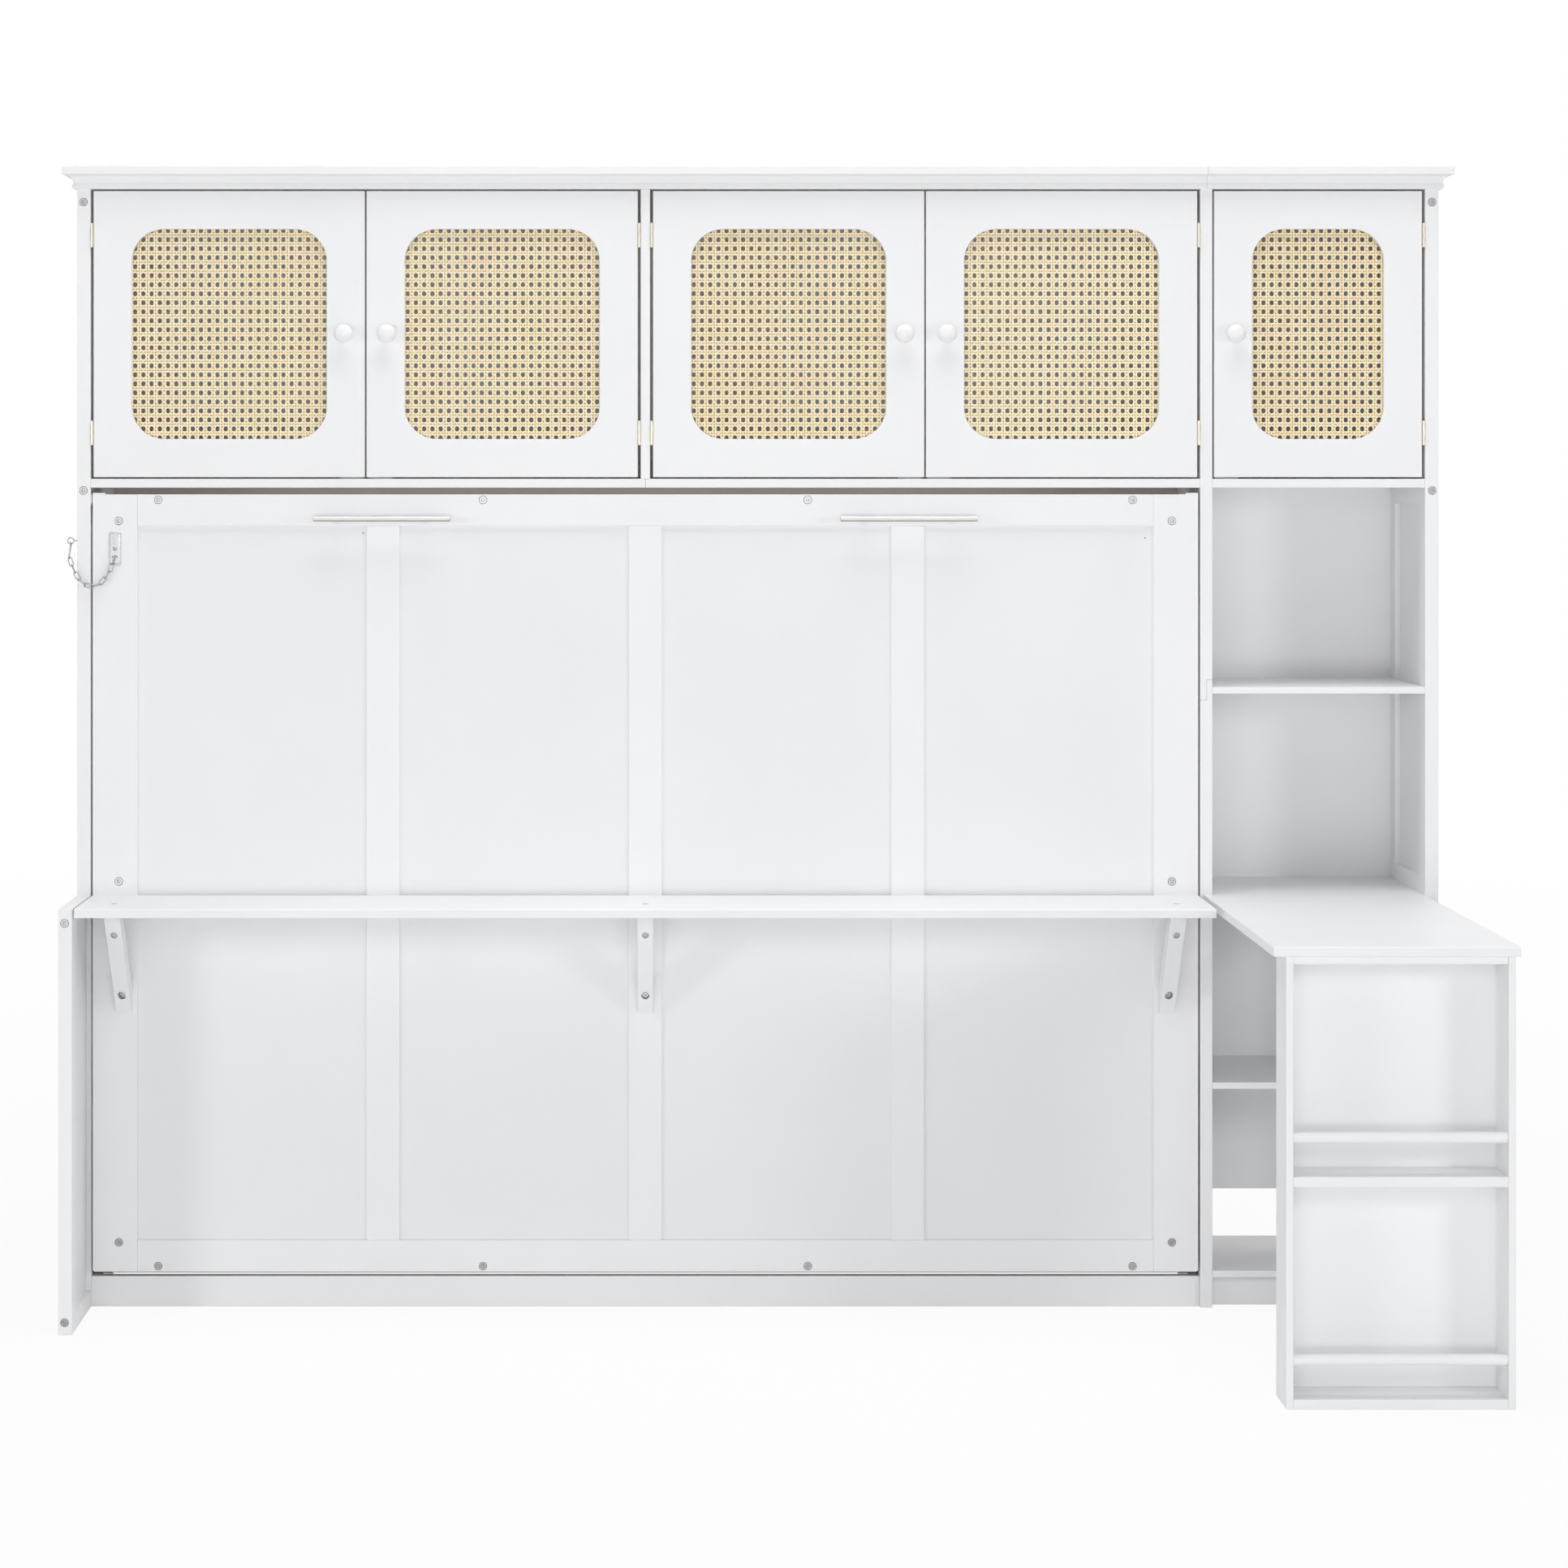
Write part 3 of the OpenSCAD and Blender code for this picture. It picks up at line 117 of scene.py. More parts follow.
class WallBedView(bpy.types.PropertyGroup):
    """Camera and light."""

    lens: FloatProperty(name="Lens", description="Focal length on a 36 mm sensor",
                        default=80.6, min=10.0, subtype="DISTANCE_CAMERA")
    eye_height: length_property("Eye height", "Camera's height above the floor", 1497)
    distance: length_property("Distance", "Camera to the cabinet's front", 6340)
    ambient: FloatProperty(name="Ambient", description="Strength of the even light",
                           default=0.30, min=0.0)
    left: FloatProperty(name="Left light", description="Power of the compact light at the left",
                        default=32.0, min=0.0, unit="POWER")
    right: FloatProperty(name="Right light", description="Power of the compact light at the right",
                         default=27.0, min=0.0, unit="POWER")
    wall: FloatProperty(name="Light wall", description="Power of the wide light behind the camera",
                        default=52.0, min=0.0, unit="POWER")
    low: FloatProperty(name="Low light", description="Power of the light near the floor",
                       default=68.0, min=0.0, unit="POWER")
    top: FloatProperty(name="Top light", description="Power of the light over the desk",
                       default=92.0, min=0.0, unit="POWER")
    rear: FloatProperty(name="Rear lights", description="Power of each light behind the cabinet",
                        default=70.0, min=0.0, unit="POWER")


def finishes():
    return bpy.context.scene.wall_bed_finishes


def details():
    return bpy.context.scene.wall_bed_details


# ---- materials ----

MATERIALS = {}


def rgba(colour):
    return (colour[0], colour[1], colour[2], 1.0)


def shade(colour, factor):
    return tuple(min(1.0, c * factor) for c in colour)


class MaterialBuilder:
    """Builds one procedural material's node tree."""

    def __init__(self, name):
        self.material = bpy.data.materials.new(name)
        self.material.use_nodes = True
        self.tree = self.material.node_tree
        self.shader = self.tree.nodes["Principled BSDF"]
        self.place = self.node("ShaderNodeTexCoord").outputs["Object"]

    def node(self, kind, **settings):
        made = self.tree.nodes.new(kind)
        for key, value in settings.items():
            setattr(made, key, value)
        return made

    def link(self, output, target):
        self.tree.links.new(output, target)

    def stretched(self, scale):
        mapping = self.node("ShaderNodeMapping")
        mapping.inputs["Scale"].default_value = scale
        self.link(self.place, mapping.inputs["Vector"])
        return mapping.outputs["Vector"]

    def noise(self, scale, detail=2.0, roughness=0.5, vector=None):
        made = self.node("ShaderNodeTexNoise")
        made.inputs["Scale"].default_value = scale
        made.inputs["Detail"].default_value = detail
        made.inputs["Roughness"].default_value = roughness
        self.link(vector or self.place, made.inputs["Vector"])
        return made.outputs["Fac"]

    def ramp(self, factor, stops):
        made = self.node("ShaderNodeValToRGB")
        elements = made.color_ramp.elements
        while len(elements) < len(stops):
            elements.new(0.5)
        for element, (position, colour) in zip(elements, stops):
            element.position = position
            element.color = rgba(colour)
        self.link(factor, made.inputs["Fac"])
        return made.outputs["Color"]

    def span(self, factor, low, high):
        made = self.node("ShaderNodeMapRange")
        made.inputs["To Min"].default_value = low
        made.inputs["To Max"].default_value = high
        self.link(factor, made.inputs["Value"])
        return made.outputs["Result"]

    def colour(self, output):
        self.link(output, self.shader.inputs["Base Color"])

    def roughness(self, output):
        self.link(output, self.shader.inputs["Roughness"])

    def bump(self, height, strength, distance, under=None):
        made = self.node("ShaderNodeBump")
        made.inputs["Strength"].default_value = strength
        made.inputs["Distance"].default_value = distance
        self.link(height, made.inputs["Height"])
        if under is not None:
            self.link(under, made.inputs["Normal"])
        self.link(made.outputs["Normal"], self.shader.inputs["Normal"])
        return made.outputs["Normal"]


def lacquer_material(name, colour, gloss_low, gloss_high):
    """Sprayed lacquer: faint orange peel, slow change of gloss, and slightly uneven cover."""
    b = MaterialBuilder(name)
    cover = b.noise(scale=2.2, detail=3.0)
    b.colour(b.ramp(cover, [(0.35, shade(colour, 0.985)), (0.65, shade(colour, 1.01))]))
    b.roughness(b.span(b.noise(scale=7.0, detail=3.0), gloss_low, gloss_high))
    orange_peel = b.bump(b.noise(scale=38.0, detail=2.0), strength=0.05, distance=0.8 * MM)
    b.bump(b.noise(scale=700.0, detail=1.0), strength=0.04, distance=0.15 * MM,
           under=orange_peel)
    b.shader.inputs["Specular IOR Level"].default_value = 0.32
    return b.material


def plastic_material(name, colour, gloss_low, gloss_high, grain):
    """Moulded plastic: a fine spark-eroded grain and a slow change of gloss."""
    b = MaterialBuilder(name)
    cloud = b.noise(scale=30.0, detail=2.0)
    b.colour(b.ramp(cloud, [(0.3, shade(colour, 0.96)), (0.7, shade(colour, 1.04))]))
    b.roughness(b.span(b.noise(scale=90.0, detail=2.0), gloss_low, gloss_high))
    b.bump(b.noise(scale=2200.0, detail=1.0), strength=grain, distance=0.1 * MM)
    return b.material


def cane_material():
    """Cane strands: glossy bark with long fibres, each strand a little lighter or darker."""
    b = MaterialBuilder("Woven cane")
    colours = finishes()
    tint = b.node("ShaderNodeAttribute", attribute_name="tint").outputs["Fac"]
    mixed = b.node("ShaderNodeMath", operation="MULTIPLY_ADD")
    b.link(b.noise(scale=45.0, detail=3.0), mixed.inputs[0])
    mixed.inputs[1].default_value = 0.5
    b.link(tint, mixed.inputs[2])
    middle = tuple((a + c) / 2 for a, c in zip(colours.cane_light, colours.cane_dark))
    b.colour(b.ramp(mixed.outputs["Value"], [
        (0.15, colours.cane_dark), (0.5, middle), (0.85, colours.cane_light)]))
    b.roughness(b.span(b.noise(scale=180.0, detail=2.0), low=0.32, high=0.55))
    b.bump(b.noise(scale=2600.0, detail=2.0), strength=0.25, distance=0.1 * MM)
    return b.material


def pine_material():
    """Planed softwood with its grain along the slat."""
    b = MaterialBuilder("Planed pine")
    colour = finishes().pine
    grain = b.noise(scale=1.0, detail=6.0, roughness=0.6,
                    vector=b.stretched((120.0, 60.0, 2.2)))
    b.colour(b.ramp(grain, [(0.3, shade(colour, 0.72)), (0.5, colour),
                            (0.75, shade(colour, 1.22))]))
    b.roughness(b.span(grain, low=0.5, high=0.7))
    b.bump(grain, strength=0.12, distance=0.4 * MM)
    return b.material


def powder_coat_material():
    """Black powder coat with its fine pebble."""
    b = MaterialBuilder("Black powder coat")
    colour = finishes().powder_coat
    cloud = b.noise(scale=60.0, detail=2.0)
    b.colour(b.ramp(cloud, [(0.3, colour), (0.7, shade(colour, 1.6))]))
    b.roughness(b.span(b.noise(scale=400.0, detail=2.0), low=0.42, high=0.62))
    b.bump(b.noise(scale=1400.0, detail=1.0), strength=0.2, distance=0.2 * MM)
    return b.material


def metal_material(name, colour, gloss_low, gloss_high, stretch, scratch):
    """Bare or plated metal; stretch sets the way its fine scratches run."""
    b = MaterialBuilder(name)
    b.shader.inputs["Metallic"].default_value = 1.0
    lines = b.noise(scale=1.0, detail=4.0, roughness=0.6, vector=b.stretched(stretch))
    b.colour(b.ramp(lines, [(0.3, shade(colour, 0.9)), (0.7, shade(colour, 1.06))]))
    b.roughness(b.span(lines, gloss_low, gloss_high))
    b.bump(lines, strength=scratch, distance=0.1 * MM)
    return b.material


def build_materials():
    """Every finish, each with its lowest and highest roughness."""
    c = finishes()
    MATERIALS.clear()
    MATERIALS.update({
        "white_board": lacquer_material("White satin lacquer", c.lacquer, 0.38, 0.50),
        "white_panel": lacquer_material("White matt board", c.thin_board, 0.45, 0.58),
        # The back board's white is raised above the lacquer's as painted fill light for the shaded
        # recesses.
        "white_back_painted_fill": lacquer_material("White back board", c.back_board_painted_fill, 0.45, 0.58),
        "white_knob": lacquer_material("White gloss lacquer", c.lacquer, 0.14, 0.22),
        "cane": cane_material(),
        "raw_wood": pine_material(),
        "black_steel": powder_coat_material(),
        "black_plastic": plastic_material("Black moulded plastic", c.plastic_black,
                                          0.4, 0.52, grain=0.2),
        "white_plastic": plastic_material("White moulded plastic", c.plastic_white,
                                          0.3, 0.4, grain=0.06),
        "bright_steel": metal_material("Zinc plate", c.zinc, 0.2, 0.36,
                                       stretch=(300, 300, 300), scratch=0.05),
        "brushed_nickel": metal_material("Brushed nickel", c.nickel, 0.26, 0.42,
                                         stretch=(20, 2400, 2400), scratch=0.12),
        "hinge_brass": metal_material("Pale satin brass", c.hinge_brass, 0.28, 0.42,
                                      stretch=(500, 500, 60), scratch=0.08),
        "bronze": metal_material("Sintered bronze", c.bronze, 0.4, 0.55,
                                 stretch=(900, 900, 900), scratch=0.2),
    })


# ---- mesh helpers ----

def add_piece(name, mesh, body, slot, *replaced):
    """Links a finished mesh to its body, its material and the nodes it stands for."""
    piece = bpy.data.objects.new(name, mesh)
    bpy.context.scene.collection.objects.link(piece)
    mesh.materials.clear()
    mesh.materials.append(MATERIALS[slot])
    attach(piece, body)
    if replaced:
        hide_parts(*replaced)
    return piece


def smooth_by_angle(mesh, degrees):
    mesh.shade_smooth()
    mesh.set_sharp_from_angle(angle=math.radians(degrees))


def mesh_of(bm, name, crease):
    """Turns a bmesh into a mesh with outward faces, smooth up to the crease angle in degrees."""
    bmesh.ops.recalc_face_normals(bm, faces=bm.faces)
    mesh = bpy.data.meshes.new(name)
    bm.to_mesh(mesh)
    bm.free()
    smooth_by_angle(mesh, crease)
    return mesh


EASED_CREASE = 50


def eased_piece(node, width):
    """A copy of a node with its sharp edges eased, as sanding and paint leave them."""
    flat, sharp_from, rounds, weld = math.radians(0.5), math.radians(32), 2, 0.01 * MM
    mesh = frame["nodes"][node].data.copy()
    mesh.name = node + "_eased"
    bm = bmesh.new()
    bm.from_mesh(mesh)
    bmesh.ops.remove_doubles(bm, verts=bm.verts, dist=weld)
    bmesh.ops.dissolve_limit(bm, angle_limit=flat, verts=bm.verts, edges=bm.edges)
    sharp = [e for e in bm.edges
             if len(e.link_faces) == 2 and e.calc_face_angle(0) > sharp_from]
    bmesh.ops.bevel(bm, geom=sharp, offset=width, offset_type="OFFSET", segments=rounds,
                    profile=0.5, affect="EDGES", clamp_overlap=False)
    bm.to_mesh(mesh)
    bm.free()
    smooth_by_angle(mesh, EASED_CREASE)
    piece = add_piece(node + "_eased", mesh, BODY_OF[node], SLOT_OF[node], node)
    weighted = piece.modifiers.new("Flat faces stay flat", "WEIGHTED_NORMAL")
    weighted.keep_sharp = True
    weighted.weight = 100


def ease_all(nodes, width):
    for node in nodes:
        eased_piece(node, width)


def finish_in_place(*nodes, finish=None):
    """Gives nodes whose shape is right their material."""
    for node in nodes:
        data = frame["nodes"][node].data
        material = MATERIALS[finish or SLOT_OF[node]]
        if not data.materials:
            data.materials.append(material)
        for index in range(len(data.materials)):
            data.materials[index] = material


ON_AXIS = 1e-7


def lathe_mesh(name, profile, centre, turns, crease):
    """Turns (radius, reach) points round an axis that runs from the centre towards the room."""
    bm = bmesh.new()
    rings = []
    for radius, reach in profile:
        if radius < ON_AXIS:
            rings.append([bm.verts.new((centre.x, centre.y - reach, centre.z))])
            continue
        ring = []
        for k in range(turns):
            a = 2 * math.pi * k / turns
            ring.append(bm.verts.new((centre.x + radius * math.cos(a), centre.y - reach,
                                      centre.z + radius * math.sin(a))))
        rings.append(ring)
    for low, high in zip(rings, rings[1:]):
        for k in range(turns):
            m = (k + 1) % turns
            corners = (low[k % len(low)], low[m % len(low)],
                       high[m % len(high)], high[k % len(high)])
            unique = list(dict.fromkeys(corners))
            if len(unique) > 2:
                bm.faces.new(unique)
    return mesh_of(bm, name, crease)


def rounded_outline(half_w, half_h, radius, steps):
    """Points round a rectangle with round corners, about its centre."""
    points = []
    for quarter, (sx, sz) in enumerate(((1, 1), (-1, 1), (-1, -1), (1, -1))):
        cx, cz = sx * (half_w - radius), sz * (half_h - radius)
        for k in range(steps + 1):
            a = math.pi / 2 * (quarter + k / steps)
            points.append((cx + radius * math.cos(a), cz + radius * math.sin(a)))
    return points


def keyhole_outline(width, slot_width, top, bottom, steps):
    """A round hole with a narrower slot under it."""
    radius, slot = width / 2, slot_width / 2
    spread = math.asin(slot / radius)
    points = []
    for k in range(steps + 1):
        a = -math.pi / 2 + spread + (2 * math.pi - 2 * spread) * k / steps
        points.append((radius * math.cos(a), top - radius + radius * math.sin(a)))
    for k in range(steps // 2 + 1):
        a = math.pi + math.pi * k / (steps // 2)
        points.append((slot * math.cos(a), bottom + slot + slot * math.sin(a)))
    return points


def bridge(bm, loops):
    """Walls between rings of the same number of points."""
    for a, b in zip(loops, loops[1:]):
        for k in range(len(a)):
            m = (k + 1) % len(a)
            bm.faces.new((a[k], a[m], b[m], b[k]))


def wire_mesh(name, points, radius, turns):
    """Round wire bent along points, with closed ends."""
    bm = bmesh.new()
    path = [Vector(p) for p in points]
    side = (path[1] - path[0]).normalized().orthogonal().normalized()
    rings = []
    for k, p in enumerate(path):
        before, after = path[max(0, k - 1)], path[min(len(path) - 1, k + 1)]
        ahead = (after - before).normalized()
        side = (side - ahead * side.dot(ahead)).normalized()
        up = ahead.cross(side)
        ring = []
        for t in range(turns):
            a = 2 * math.pi * t / turns
            ring.append(bm.verts.new(p + radius * (side * math.cos(a) + up * math.sin(a))))
        rings.append(ring)
    bridge(bm, rings)
    bm.faces.new(rings[0])
    bm.faces.new(rings[-1])
    return mesh_of(bm, name, EASED_CREASE)


# ---- cane ----

WINDOW_MARGIN = 69 * MM
WINDOW_RADIUS = 58 * MM
WINDOW_LAP = 10.6 * MM
CANE_DEPTH = 10.8 * MM
BEAD_LAP = 1 * MM
BEAD_FRONT = 11.6 * MM
BEAD_BACK = 17 * MM
BEAD_WELD = 0.001 * MM
CORNER_STEPS = 10
CANE_SEED = 40
DOOR_PALENESS = (0.04, 0.04, 0.0, 0.16, -0.06)
PAIR_TINT = (0.1, 0.5)
SLANT_TINT = (0.25, 0.65)
STRAND_WANDER = 0.15 * MM
STRAND_LIFT = 0.42 * MM
LEVEL_LIFT = 0.12 * STRAND_LIFT


class RoundedWindow:
    """The cane's outline: a rectangle with round corners, about a centre."""

    def __init__(self, node, grow):
        low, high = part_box(node)
        self.centre = (low + high) / 2
        self.front = low.y
        self.half_w = (high.x - low.x) / 2 - WINDOW_MARGIN + grow
        self.half_h = (high.z - low.z) / 2 - WINDOW_MARGIN + grow
        self.radius = WINDOW_RADIUS + grow

    def holds(self, x, z):
        dx = max(0.0, abs(x) - (self.half_w - self.radius))
        dz = max(0.0, abs(z) - (self.half_h - self.radius))
        return (abs(x) <= self.half_w and abs(z) <= self.half_h
                and dx * dx + dz * dz <= self.radius * self.radius)

    def outline(self, steps):
        return rounded_outline(self.half_w, self.half_h, self.radius, steps)


FEWEST_POINTS = 3
RIBBON_SECTION = ((-0.5, 0.0), (-0.34, -0.5), (0.34, -0.5),
                  (0.5, 0.0), (0.34, 0.4), (-0.34, 0.4))


class Weave:
    """Collects flat strands into one mesh, each with its own tint."""

    def __init__(self, window):
        self.window = window
        self.verts, self.faces, self.tints = [], [], []

    def strand(self, points, width, thickness, tint):
        """points are (x, z, lift) from the window's centre; the strand is cut to the window."""
        inside = [p for p in points if self.window.holds(p[0], p[1])]
        if len(inside) < FEWEST_POINTS:
            return
        base = self.window.centre
        first, last = inside[0], inside[-1]
        along = Vector((last[0] - first[0], 0, last[1] - first[1])).normalized()
        side = Vector((along.z, 0, -along.x)) * width
        deep = Vector((0, thickness, 0))
        start, ring = len(self.verts), len(RIBBON_SECTION)
        for x, z, lift in inside:
            p = Vector((base.x + x, self.window.front + CANE_DEPTH - lift, base.z + z))
            self.verts += [p + side * across + deep * back for across, back in RIBBON_SECTION]
            self.tints += [tint] * ring
        for k in range(len(inside) - 1):
            for c in range(ring):
                d = (c + 1) % ring
                a = start + ring * k
                self.faces.append((a + c, a + d, a + ring + d, a + ring + c))
        end = start + ring * (len(inside) - 1)
        self.faces.append(tuple(start + c for c in reversed(range(ring))))
        self.faces.append(tuple(end + c for c in range(ring)))

    def mesh(self, name):
        mesh = bpy.data.meshes.new(name)
        mesh.from_pydata([tuple(v) for v in self.verts], [], self.faces)
        tint = mesh.attributes.new("tint", "FLOAT", "POINT")
        tint.data.foreach_set("value", self.tints)
        mesh.shade_smooth()
        mesh.update()
        return mesh


def weave_cane(number):
    """The six-way pattern: upright and level pairs with slanting strands between the holes."""
    d = details()
    rng = random.Random(CANE_SEED + number)
    window = RoundedWindow("door_%d_frame" % number, WINDOW_LAP)
    weave = Weave(window)
    across, up = d.cane_across, d.cane_up
    columns = math.ceil(window.half_w / across) + 1
    rows = math.ceil(window.half_h / up) + 1

    def place(k, pitch, side):
        return k * pitch + side * d.cane_pair + rng.uniform(-STRAND_WANDER, STRAND_WANDER)

    def lay(points, width, tint):
        pale = DOOR_PALENESS[number - 1]
        weave.strand(points, width, d.strand_thickness, pale + rng.uniform(*tint))

    for k in range(-columns, columns + 1):
        for j, side in enumerate((-0.5, 0.5)):
            x = place(k, across, side)
            lay([(x, s * up / 2, STRAND_LIFT * math.cos(math.pi * (s / 2 + j)))
                 for s in range(-2 * rows, 2 * rows + 1)], d.strand_width, PAIR_TINT)
    for k in range(-rows, rows + 1):
        for j, side in enumerate((-0.5, 0.5)):
            z = place(k, up, side)
            lay([(s * across / 2, z, LEVEL_LIFT * math.cos(math.pi * (s + j)))
                 for s in range(-2 * columns, 2 * columns + 1)], d.strand_width, PAIR_TINT)
    reach = columns + rows + 2
    for slope in (1, -1):
        for k in range(-reach, reach + 1):
            points = []
            for s in range(-2 * reach, 2 * reach + 1):
                over = slope if s % 2 else -slope
                points.append((s * across / 2, slope * (s / 2 + k + 0.5) * up,
                               STRAND_LIFT * over))
            lay(points, d.slant_width, SLANT_TINT)
    name = "door_%d_cane" % number
    add_piece(name + "_weave", weave.mesh(name + "_weave"), BODY_OF[name], "cane", name)


def cane_bead(number):
    """The bead that holds the cane in the rebate behind the door's frame."""
    node = "door_%d_frame" % number
    window = RoundedWindow(node, WINDOW_LAP)
    inner = RoundedWindow(node, BEAD_LAP).outline(CORNER_STEPS)
    outer = window.outline(CORNER_STEPS)
    bm = bmesh.new()
    loops = []
    for outline, depth in ((inner, BEAD_FRONT), (inner, BEAD_BACK), (outer, BEAD_BACK),
                           (outer, BEAD_FRONT)):
        y = window.front + depth
        loops.append([bm.verts.new((window.centre.x + x, y, window.centre.z + z))
                      for x, z in outline])
    bridge(bm, loops + loops[:1])
    bmesh.ops.remove_doubles(bm, verts=bm.verts, dist=BEAD_WELD)
    mesh = mesh_of(bm, "door_%d_bead" % number, crease=35)
    add_piece("door_%d_cane_bead" % number, mesh, BODY_OF[node], "white_board")


# ---- operators ----

PICTURE = 1932
VIEW_CENTRE = (800, 590)
SENSOR = 36
EYE_INSET = 1033 * MM


class WALLBED_OT_camera(bpy.types.Operator):
    """Place the camera square to the front"""

    bl_idname = "wallbed.camera"
    bl_label = "Camera"

    def execute(self, context):
        view = context.scene.wall_bed_view
        data = bpy.data.cameras.new("Camera")
        data.sensor_width = SENSOR
        data.lens = view.lens
        data.shift_x = (PICTURE / 2 - VIEW_CENTRE[0]) / PICTURE
        data.shift_y = -(PICTURE / 2 - VIEW_CENTRE[1]) / PICTURE
        data.clip_end = 100
        camera = bpy.data.objects.new("Camera", data)
        context.scene.collection.objects.link(camera)
        low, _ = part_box("left_side_frame")
        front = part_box("bed_uprights")[0].y
        camera.location = (low.x + EYE_INSET, front - view.distance, view.eye_height)
        camera.rotation_euler = (math.radians(90), 0, 0)
        context.scene.camera = camera
        return {"FINISHED"}


CABINET_HEART = Vector((0, 0.2, 1.1))
DESK_HEART = Vector((0.2, -0.3, 0))
# Each light's name, place, target, size and the view setting that holds its power.
FRONT_LIGHTS = (
    ("Left side light", (-4.0, -3.0, 1.7), CABINET_HEART, (0.7, 0.7), "left"),
    ("Right side light", (3.6, -3.0, 1.7), CABINET_HEART, (0.7, 0.7), "right"),
    ("Light wall", (-0.2, -7.2, 1.6), CABINET_HEART, (6.0, 3.0), "wall"),
    ("Low light", (-0.2, -6.6, 0.5), CABINET_HEART, (4.0, 0.9), "low"),
    ("Top light", (0.2, -0.45, 4.6), DESK_HEART, (2.8, 2.2), "top"),
)
REAR_LIGHTS = (
    ("Left rear light", (-3.6, 5.0, 2.6), CABINET_HEART, (2.0, 2.0), "rear"),
    ("Right rear light", (3.6, 5.0, 2.6), CABINET_HEART, (2.0, 2.0), "rear"),
)
DAYLIGHT = (0.975, 0.984, 1.0)
FLOOR_HALF = 30
FLOOR_DROP = 0.5 * MM
FLOOR_GREY = (0.86, 0.86, 0.86)
NEAR_GLOW = 0.92
GLOW_SPAN = (2.5, 8.0)


class WALLBED_OT_stage(bpy.types.Operator):
    """Lay a pale floor and set soft studio light"""

    bl_idname = "wallbed.stage"
    bl_label = "Floor and light"

    def execute(self, context):
        view = context.scene.wall_bed_view
        scene = context.scene
        scene.view_settings.view_transform = "Standard"
        self.floor()
        self.world(scene, view.ambient)
        for name, place, target, size, power in FRONT_LIGHTS:
            self.soft_light(name, place, target, size, getattr(view, power))
        for name, place, target, size, power in REAR_LIGHTS:
            light = self.soft_light(name, place, target, size, getattr(view, power))
            light.visible_glossy = False
        return {"FINISHED"}

    def floor(self):
        half = FLOOR_HALF
        mesh = bpy.data.meshes.new("Floor")
        mesh.from_pydata([(-half, -half, 0), (half, -half, 0), (half, half, 0), (-half, half, 0)],
                         [], [(0, 1, 2, 3)])
        floor = bpy.data.objects.new("Floor", mesh)
        floor.location.z = -FLOOR_DROP
        bpy.context.scene.collection.objects.link(floor)
        b = MaterialBuilder("Pale floor")
        b.shader.inputs["Base Color"].default_value = rgba(FLOOR_GREY)
        b.roughness(b.span(b.noise(scale=1.5), low=0.7, high=0.8))
        glow = b.node("ShaderNodeEmission")
        glow.inputs["Strength"].default_value = 1.0
        away = b.node("ShaderNodeVectorMath", operation="LENGTH")
        b.link(b.place, away.inputs[0])
        fade = b.node("ShaderNodeMapRange")
        fade.inputs["From Min"].default_value, fade.inputs["From Max"].default_value = GLOW_SPAN
        fade.inputs["To Min"].default_value = NEAR_GLOW
        b.link(away.outputs["Value"], fade.inputs["Value"])
        share = b.node("ShaderNodeMath", operation="MULTIPLY")
        b.link(self.seen_rays(b.tree), share.inputs[0])
        b.link(fade.outputs["Result"], share.inputs[1])
        mix = b.node("ShaderNodeMixShader")
        b.link(share.outputs["Value"], mix.inputs["Fac"])
        b.link(b.shader.outputs["BSDF"], mix.inputs[1])
        b.link(glow.outputs["Emission"], mix.inputs[2])
        b.link(mix.outputs["Shader"], b.tree.nodes["Material Output"].inputs["Surface"])
        mesh.materials.append(b.material)

    def world(self, scene, ambient):
        world = bpy.data.worlds.new("Studio")
        scene.world = world
        world.use_nodes = True
        nodes, links = world.node_tree.nodes, world.node_tree.links
        background = nodes["Background"]
        background.inputs["Color"].default_value = rgba((1, 1, 1))
        level = nodes.new("ShaderNodeMapRange")
        level.inputs["To Min"].default_value = ambient
        level.inputs["To Max"].default_value = 1.0
        links.new(self.seen_rays(world.node_tree), level.inputs["Value"])
        links.new(level.outputs["Result"], background.inputs["Strength"])

    def seen_rays(self, tree):
        """1 for the rays that see the white backdrop, 0 for those that only carry its light."""
        path = tree.nodes.new("ShaderNodeLightPath")
        reflected = tree.nodes.new("ShaderNodeMath")
        reflected.operation = "MAXIMUM"
        tree.links.new(path.outputs["Is Glossy Ray"], reflected.inputs[0])
        tree.links.new(path.outputs["Is Transmission Ray"], reflected.inputs[1])
        seen = tree.nodes.new("ShaderNodeMath")
        seen.operation = "MAXIMUM"
        tree.links.new(path.outputs["Is Camera Ray"], seen.inputs[0])
        tree.links.new(reflected.outputs["Value"], seen.inputs[1])
        return seen.outputs["Value"]

    def soft_light(self, name, place, target, size, power):
        data = bpy.data.lights.new(name, "AREA")
        data.shape = "RECTANGLE"
        data.size, data.size_y = size
        data.energy = power
        data.color = DAYLIGHT
        light = bpy.data.objects.new(name, data)
        bpy.context.scene.collection.objects.link(light)
        light.location = place
        light.rotation_euler = (target - Vector(place)).to_track_quat("-Z", "Y").to_euler()
        light.visible_camera = False
        return light


MOULDING_EDGE = 0.4 * MM
SLAT_EDGE = 2 * MM
FOOT_EDGE = 1.2 * MM
DOOR_EDGE = 1.3 * MM


class WALLBED_OT_carcass(bpy.types.Operator):
    """Finish the cabinet's sides, dividers, floors and rails"""

    bl_idname = "wallbed.carcass"
    bl_label = "Carcass"

    def execute(self, context):
        ease_all(("left_side_frame", "right_side_frame", "divider_boards", "front_rails",
                  "wall_rails", "cupboard_floors", "cupboard_partition", "column_shelves"),
                 details().board_edge)
        finish_in_place("side_panels")
        # The back panels take the lifted white, which paints fill light into the shaded recesses
        # behind the doors and in the column and rack.
        finish_in_place("back_panels", finish="white_back_painted_fill")
        return {"FINISHED"}


